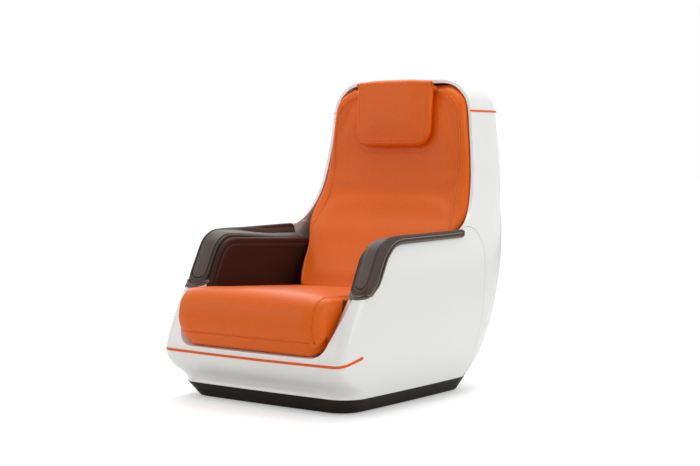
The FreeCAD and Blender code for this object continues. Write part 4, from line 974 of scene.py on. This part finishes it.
def cap_sheets():
    """The cap's places along it, its upper and lower surface, and the normals of its plain top."""
    x, s, away, _ = strip_grid(cap_inner, cap_outer, 0, cap_length, cap_tip_radius, columns=73, rows=230)
    share = s / cap_length
    face = cap_point_grid(x, s)
    normals = pad_normals(face)
    *_, inlay_edge = inlay_grid(0, columns=9, rows=120)
    inlay_edge[:, 0] = narrowed(*inlay_edge.T)
    inside = inside_distance(x, s, inlay_edge)
    roll = (cap_front_edge - cap_edge) * soft_step(x, *cap_roll_across) * (1 - soft_step(share, *cap_roll_shares))
    rear = edge_drop(cap_length - s, cap_rear_round)
    well = inlay_depth * soft_step(inside, -1.6, 0.2)
    swell = cap_swell[0] * bell(inside + cap_swell[2], cap_swell[1])
    ridge = cap_ridge[0] * bell(x - cap_ridge[2], cap_ridge[1]) * soft_step(s, *cap_ridge_start)
    stitched = groove(np.abs(x - cap_inner) - cap_stitch_inset, depth=0.5, width=1.0)
    lift = swell * (inside < 1.5) + ridge - well + stitched * (inside < -1)
    lift -= np.maximum(edge_drop(away, cap_edge + roll), rear)
    thinning = (cap_top_thickness - cap_front_thickness) * soft_step(share, *cap_depth_shares)
    lip = cap_lip * (1 - soft_step(share, *cap_lip_shares)) * soft_step(s, *cap_lip_start)
    depth = cap_front_thickness + thinning + lip * soft_step(x, *cap_lip_across) - rear
    low = face - normals * depth[..., None]
    low[..., 0] = x
    low[..., 1] = np.minimum(low[..., 1], cap_rear[0] - 1.0)
    return s, face + normals * lift[..., None], low, normals


def inlay_sheets():
    x, s, away, _ = inlay_grid(1.0, columns=41, rows=200)
    strip = cap_point_grid(narrowed(x, s), s)
    normals = pad_normals(strip)
    lift = inlay_proud + inlay_crown * soft_step(away, 2, 18) - edge_drop(away, inlay_edge_round)
    return strip + normals * lift[..., None], strip - normals * (inlay_depth - 0.35)


def tip_pieces(s, top, low, normals):
    """The tip's leather, from the cap's edge down to the welt over the body, and the beads along its edges."""
    side_rows = range(len(s) - 9, 0, -1)
    beside = [i for i in side_rows if s[i, -1] > welt_turn]
    foot = [low[i, -1] + normals[i, -1] for i in beside]
    welt = smoothed(resample(np.vstack([foot, welt_tip]), bead_points), 9)
    rim = [(i, -1) for i in side_rows if s[i, -1] <= welt_turn]
    rim += [(0, j) for j in range(s.shape[1] - 1, -1, -1)] + [(i, 0) for i in range(1, 20)]
    edge_line = resample(np.array([top[i, j] for i, j in rim]), tip_points)
    start = int(np.argmin(np.linalg.norm(welt - foot[-1], axis=1)))
    welt_line = resample(welt[start:], tip_points)
    share = np.linspace(0, 1, tip_columns)[None, :, None]
    skirt = edge_line[:, None] * (1 - share) + welt_line[:, None] * share
    outer = pad_normals(skirt)
    facing = np.sign((outer * (skirt - tip_centre)).sum(axis=2, keepdims=True))
    outer = outer * facing
    x = skirt[..., :1]
    bulge = 1.5 + 5.5 * (1 - soft_step(x, 350, 361)) * soft_step(x, 296, 310)
    skirt = skirt + outer * (bulge * np.sin(math.pi * share) ** 0.8 + 0.4)
    skirt[:, -1] = welt_line
    skirt = draped(skirt, tip_thickness)
    sheets = (skirt, skirt - outer * tip_thickness)
    if facing.mean() < 0:
        sheets = [sheet[:, ::-1] for sheet in sheets]

    level = np.linspace(*ridge_columns, len(skirt))
    column = np.floor(level).astype(int)
    rows = np.arange(len(skirt))
    turn = skirt[rows, column] + (skirt[rows, column + 1] - skirt[rows, column]) * (level - column)[:, None]
    upper = [low[i, -1] + normals[i, -1] * ridge_rise + (0.3, 0, 0) for i in beside]
    upper = smoothed(resample(np.vstack([upper, turn[4::2]]), bead_points), 15)
    welt = smoothed(resample(np.vstack([foot, skirt[2:, -1]]), bead_points), 9)
    tangent = unit(np.gradient(welt, axis=0))
    outward = (welt - tip_centre) * (1, 0.2, 0.2)
    outward -= tangent * (outward * tangent).sum(axis=1, keepdims=True)
    outward = unit(outward)
    across = np.cross(tangent, outward) * welt_stitch_step
    outward = outward * welt_stitch_rise
    beads = [
        ("_cap_welt", welt, welt_radius, brown),
        ("_cap_stitching_1", welt + outward + across, 0.8, piping),
        ("_cap_stitching_2", welt + outward - across, 0.8, piping),
        ("_cap_ridge_piping", upper, 1.5, piping),
    ]
    return sheets, beads


# Painted shade: a thin dark brown sheet lying just over the cap's rim wall, where that wall is in shadow
def shade_wall_sheets():
    s = np.linspace(cap_length * wall_shares[0], cap_length - 5, 120)[:, None]
    inner = wall_high - (wall_high - wall_low) * soft_step(s / cap_length, *wall_shares)
    x = inner + (wall_high - inner) * np.linspace(0, 1, 17)
    wall = cap_point_grid(x, np.repeat(s, x.shape[1], axis=1))
    normals = pad_normals(wall)
    return wall + normals * 0.7, wall - normals * 0.5


def arm_pieces():
    s, top, low, normals = cap_sheets()
    inlay = inlay_sheets()
    tip, beads = tip_pieces(s, top, low, normals)
    wall = shade_wall_sheets()
    for side, word in ((1, "right"), (-1, "left")):
        obj = side_mesh(word + "_cap_leather", *pad_mesh(top, low, wall_steps=6), side)
        placed(obj, "chair", "brown_leather", brown, word + "_arm_cap")
        obj = side_mesh(word + "_inlay_leather", *pad_mesh(*inlay, wall_steps=3), side)
        placed(obj, "chair", "taupe_leather", taupe, word + "_arm_inlay")
        # The dark sheet over the rim wall is painted shade
        obj = side_mesh(word + "_painted_shade_sheet", *pad_mesh(*wall, wall_steps=2), side)
        placed(obj, "chair", "dark_brown_leather", lining_leather)
        obj = side_mesh(word + "_tip_leather", *pad_mesh(*tip, wall_steps=2), side)
        placed(obj, "chair", "brown_leather", brown)
        for kind, path, radius, material in beads:
            path = flipped(path) if side < 0 else path
            tube_along(word + kind, path, radius, "chair", "brown_leather", material, around=10)


arm_pieces()

lining_face_x = 276.3
lining_outer_x = 290.0
lining_roll = 11.0
lining_low = 216.0
lining_rear = 132.0
lining_pad = 2.0
lining_seam = 21.0


def lining_edge():
    """The lining's outline in the side view: up its slanted front, round the bend and back along its top."""
    line = cap_line(1.0)
    direction = (line[0] - line[1]) / path_lengths(line)[1]
    foot = line[1] + direction * ((line[1][1] - lining_low) / -direction[1])
    line = np.vstack([[foot], line[1:]])
    end = (lining_rear, np.interp(lining_rear, line[:, 0], line[:, 1]))
    return np.vstack([line[line[:, 0] < lining_rear], [end]])


def lining_pieces():
    edge = lining_edge()
    y = np.concatenate([np.linspace(edge[0, 0], -250, 110), np.linspace(-250, lining_rear, 110)[1:]])
    top = np.interp(y, edge[:, 0], edge[:, 1])
    share = np.sin(quarter_turn(90))
    z = lining_low + (top[None, :] - lining_low) * share[:, None]
    yy = np.repeat(y[None, :], len(share), axis=0)
    away = line_distance(yy, z, edge)
    pad = lining_pad * soft_step(away, 20, 30) + groove(away - lining_seam, depth=1.6, width=1.7)
    face = np.stack([lining_face_x + edge_drop(away, lining_roll) + lining_pad - pad, yy, z], axis=-1)
    back = face.copy()
    back[..., 0] = lining_outer_x
    line = resample(edge, 400)
    along = unit(np.gradient(line, axis=0))
    sewn = line + np.column_stack([along[:, 1], -along[:, 0]]) * lining_seam
    sewn = sewn[(sewn[:, 1] > 330) & (sewn[:, 0] < lining_rear)]
    sewn = np.column_stack([np.full(len(sewn), lining_face_x + 3.0), sewn])
    for side, word in ((1, "right"), (-1, "left")):
        obj = side_mesh(word + "_lining_leather", *pad_mesh(face[:, ::-1], back[:, ::-1], wall_steps=2), side)
        placed(obj, "chair", "dark_brown_leather", lining_leather, word + "_arm_lining")
        path = flipped(sewn) if side < 0 else sewn
        normals = np.tile((-side, 0.0, 0.0), (len(path), 1))
        name = word + "_lining_stitches"
        threads(name, path, normals, 4.6, 3.9, 0.6, "chair", "dark_brown_leather", thread)


lining_pieces()

# ---------------- stage, light and camera

full_white = (1, 1, 1, 1)
world = bpy.data.worlds.new("studio")
bpy.context.scene.world = world
world.use_nodes = True
tree = world.node_tree
lighting = tree.nodes["Background"]
set_inputs(tree, lighting, {"Color": full_white, "Strength": 0.58})
seen = new_node(tree, "Background", {"Color": full_white, "Strength": 1.0})
rays = new_node(tree, "LightPath", {}).outputs
either = new_node(tree, "Math", {0: rays["Is Camera Ray"], 1: rays["Is Transmission Ray"]}, operation="MAXIMUM")
any_of = new_node(tree, "Math", {0: either.outputs["Value"], 1: rays["Is Glossy Ray"]}, operation="MAXIMUM")
mixed = new_node(tree, "MixShader", {0: any_of.outputs["Value"], 1: lighting.outputs[0], 2: seen.outputs[0]})
set_inputs(tree, tree.nodes["World Output"], {"Surface": mixed.outputs[0]})

reach = 30.0
floor_mesh = bpy.data.meshes.new("floor")
floor_corners = [(x * reach, y * reach, 0) for x, y in ((-1, -1), (1, -1), (1, 1), (-1, 1))]
floor_mesh.from_pydata(floor_corners, [], [(0, 1, 2, 3)])
floor = bpy.data.objects.new("floor", floor_mesh)
bpy.context.scene.collection.objects.link(floor)
floor.location.z = -0.0005
floor_material, tree, shader = new_material("floor")
rays = new_node(tree, "LightPath", {}).outputs
place = new_node(tree, "TexCoord", {}).outputs["Object"]
far = new_node(tree, "VectorMath", {0: place}, operation="LENGTH").outputs["Value"]
# The floor brightens towards the white around it
brightening = {"Value": far, "From Min": 0.9, "From Max": 2.4, "To Min": 0.34, "To Max": 0.52}
glow = new_node(tree, "MapRange", brightening).outputs["Result"]
scaled = new_node(tree, "Math", {0: rays["Is Camera Ray"], 1: glow}, operation="MULTIPLY").outputs["Value"]
floor_looks = {
    "Base Color": (0.86, 0.86, 0.86, 1),
    "Roughness": 0.9,
    "Emission Color": full_white,
    "Emission Strength": scaled,
}
set_inputs(tree, shader, floor_looks)
floor_mesh.materials.append(floor_material)


def lamp(name, place, target, size, power):
    data = bpy.data.lights.new(name, "AREA")
    data.shape = "RECTANGLE"
    data.size, data.size_y = size
    data.energy = power
    obj = bpy.data.objects.new(name, data)
    bpy.context.scene.collection.objects.link(obj)
    obj.location = place
    obj.rotation_euler = (Vector(target) - Vector(place)).to_track_quat("-Z", "Y").to_euler()
    obj.visible_camera = False


lamp("overhead", (-0.5, 0.6, 3.0), target=(0, -0.3, 0.35), size=(2.4, 2.4), power=56)
lamp("back left", (-2.0, 2.7, 1.7), target=(0, -0.4, 0.5), size=(4.4, 1.6), power=26)
lamp("right side", (3.4, 0.2, 1.8), target=(0, 0, 0.5), size=(2.4, 2.4), power=27)
lamp("front left", (-2.6, -3.0, 1.9), target=(0, 0, 0.5), size=(1.8, 2.0), power=14)

camera_data = bpy.data.cameras.new("camera")
camera = bpy.data.objects.new("camera", camera_data)
bpy.context.scene.collection.objects.link(camera)
camera.location = camera_place
camera.rotation_euler = (math.radians(90 - camera_pitch), 0, math.radians(camera_yaw))
camera_data.lens = camera_lens
camera_data.sensor_width = 36.0
bpy.context.scene.camera = camera
bpy.context.scene.view_settings.view_transform = "Standard"
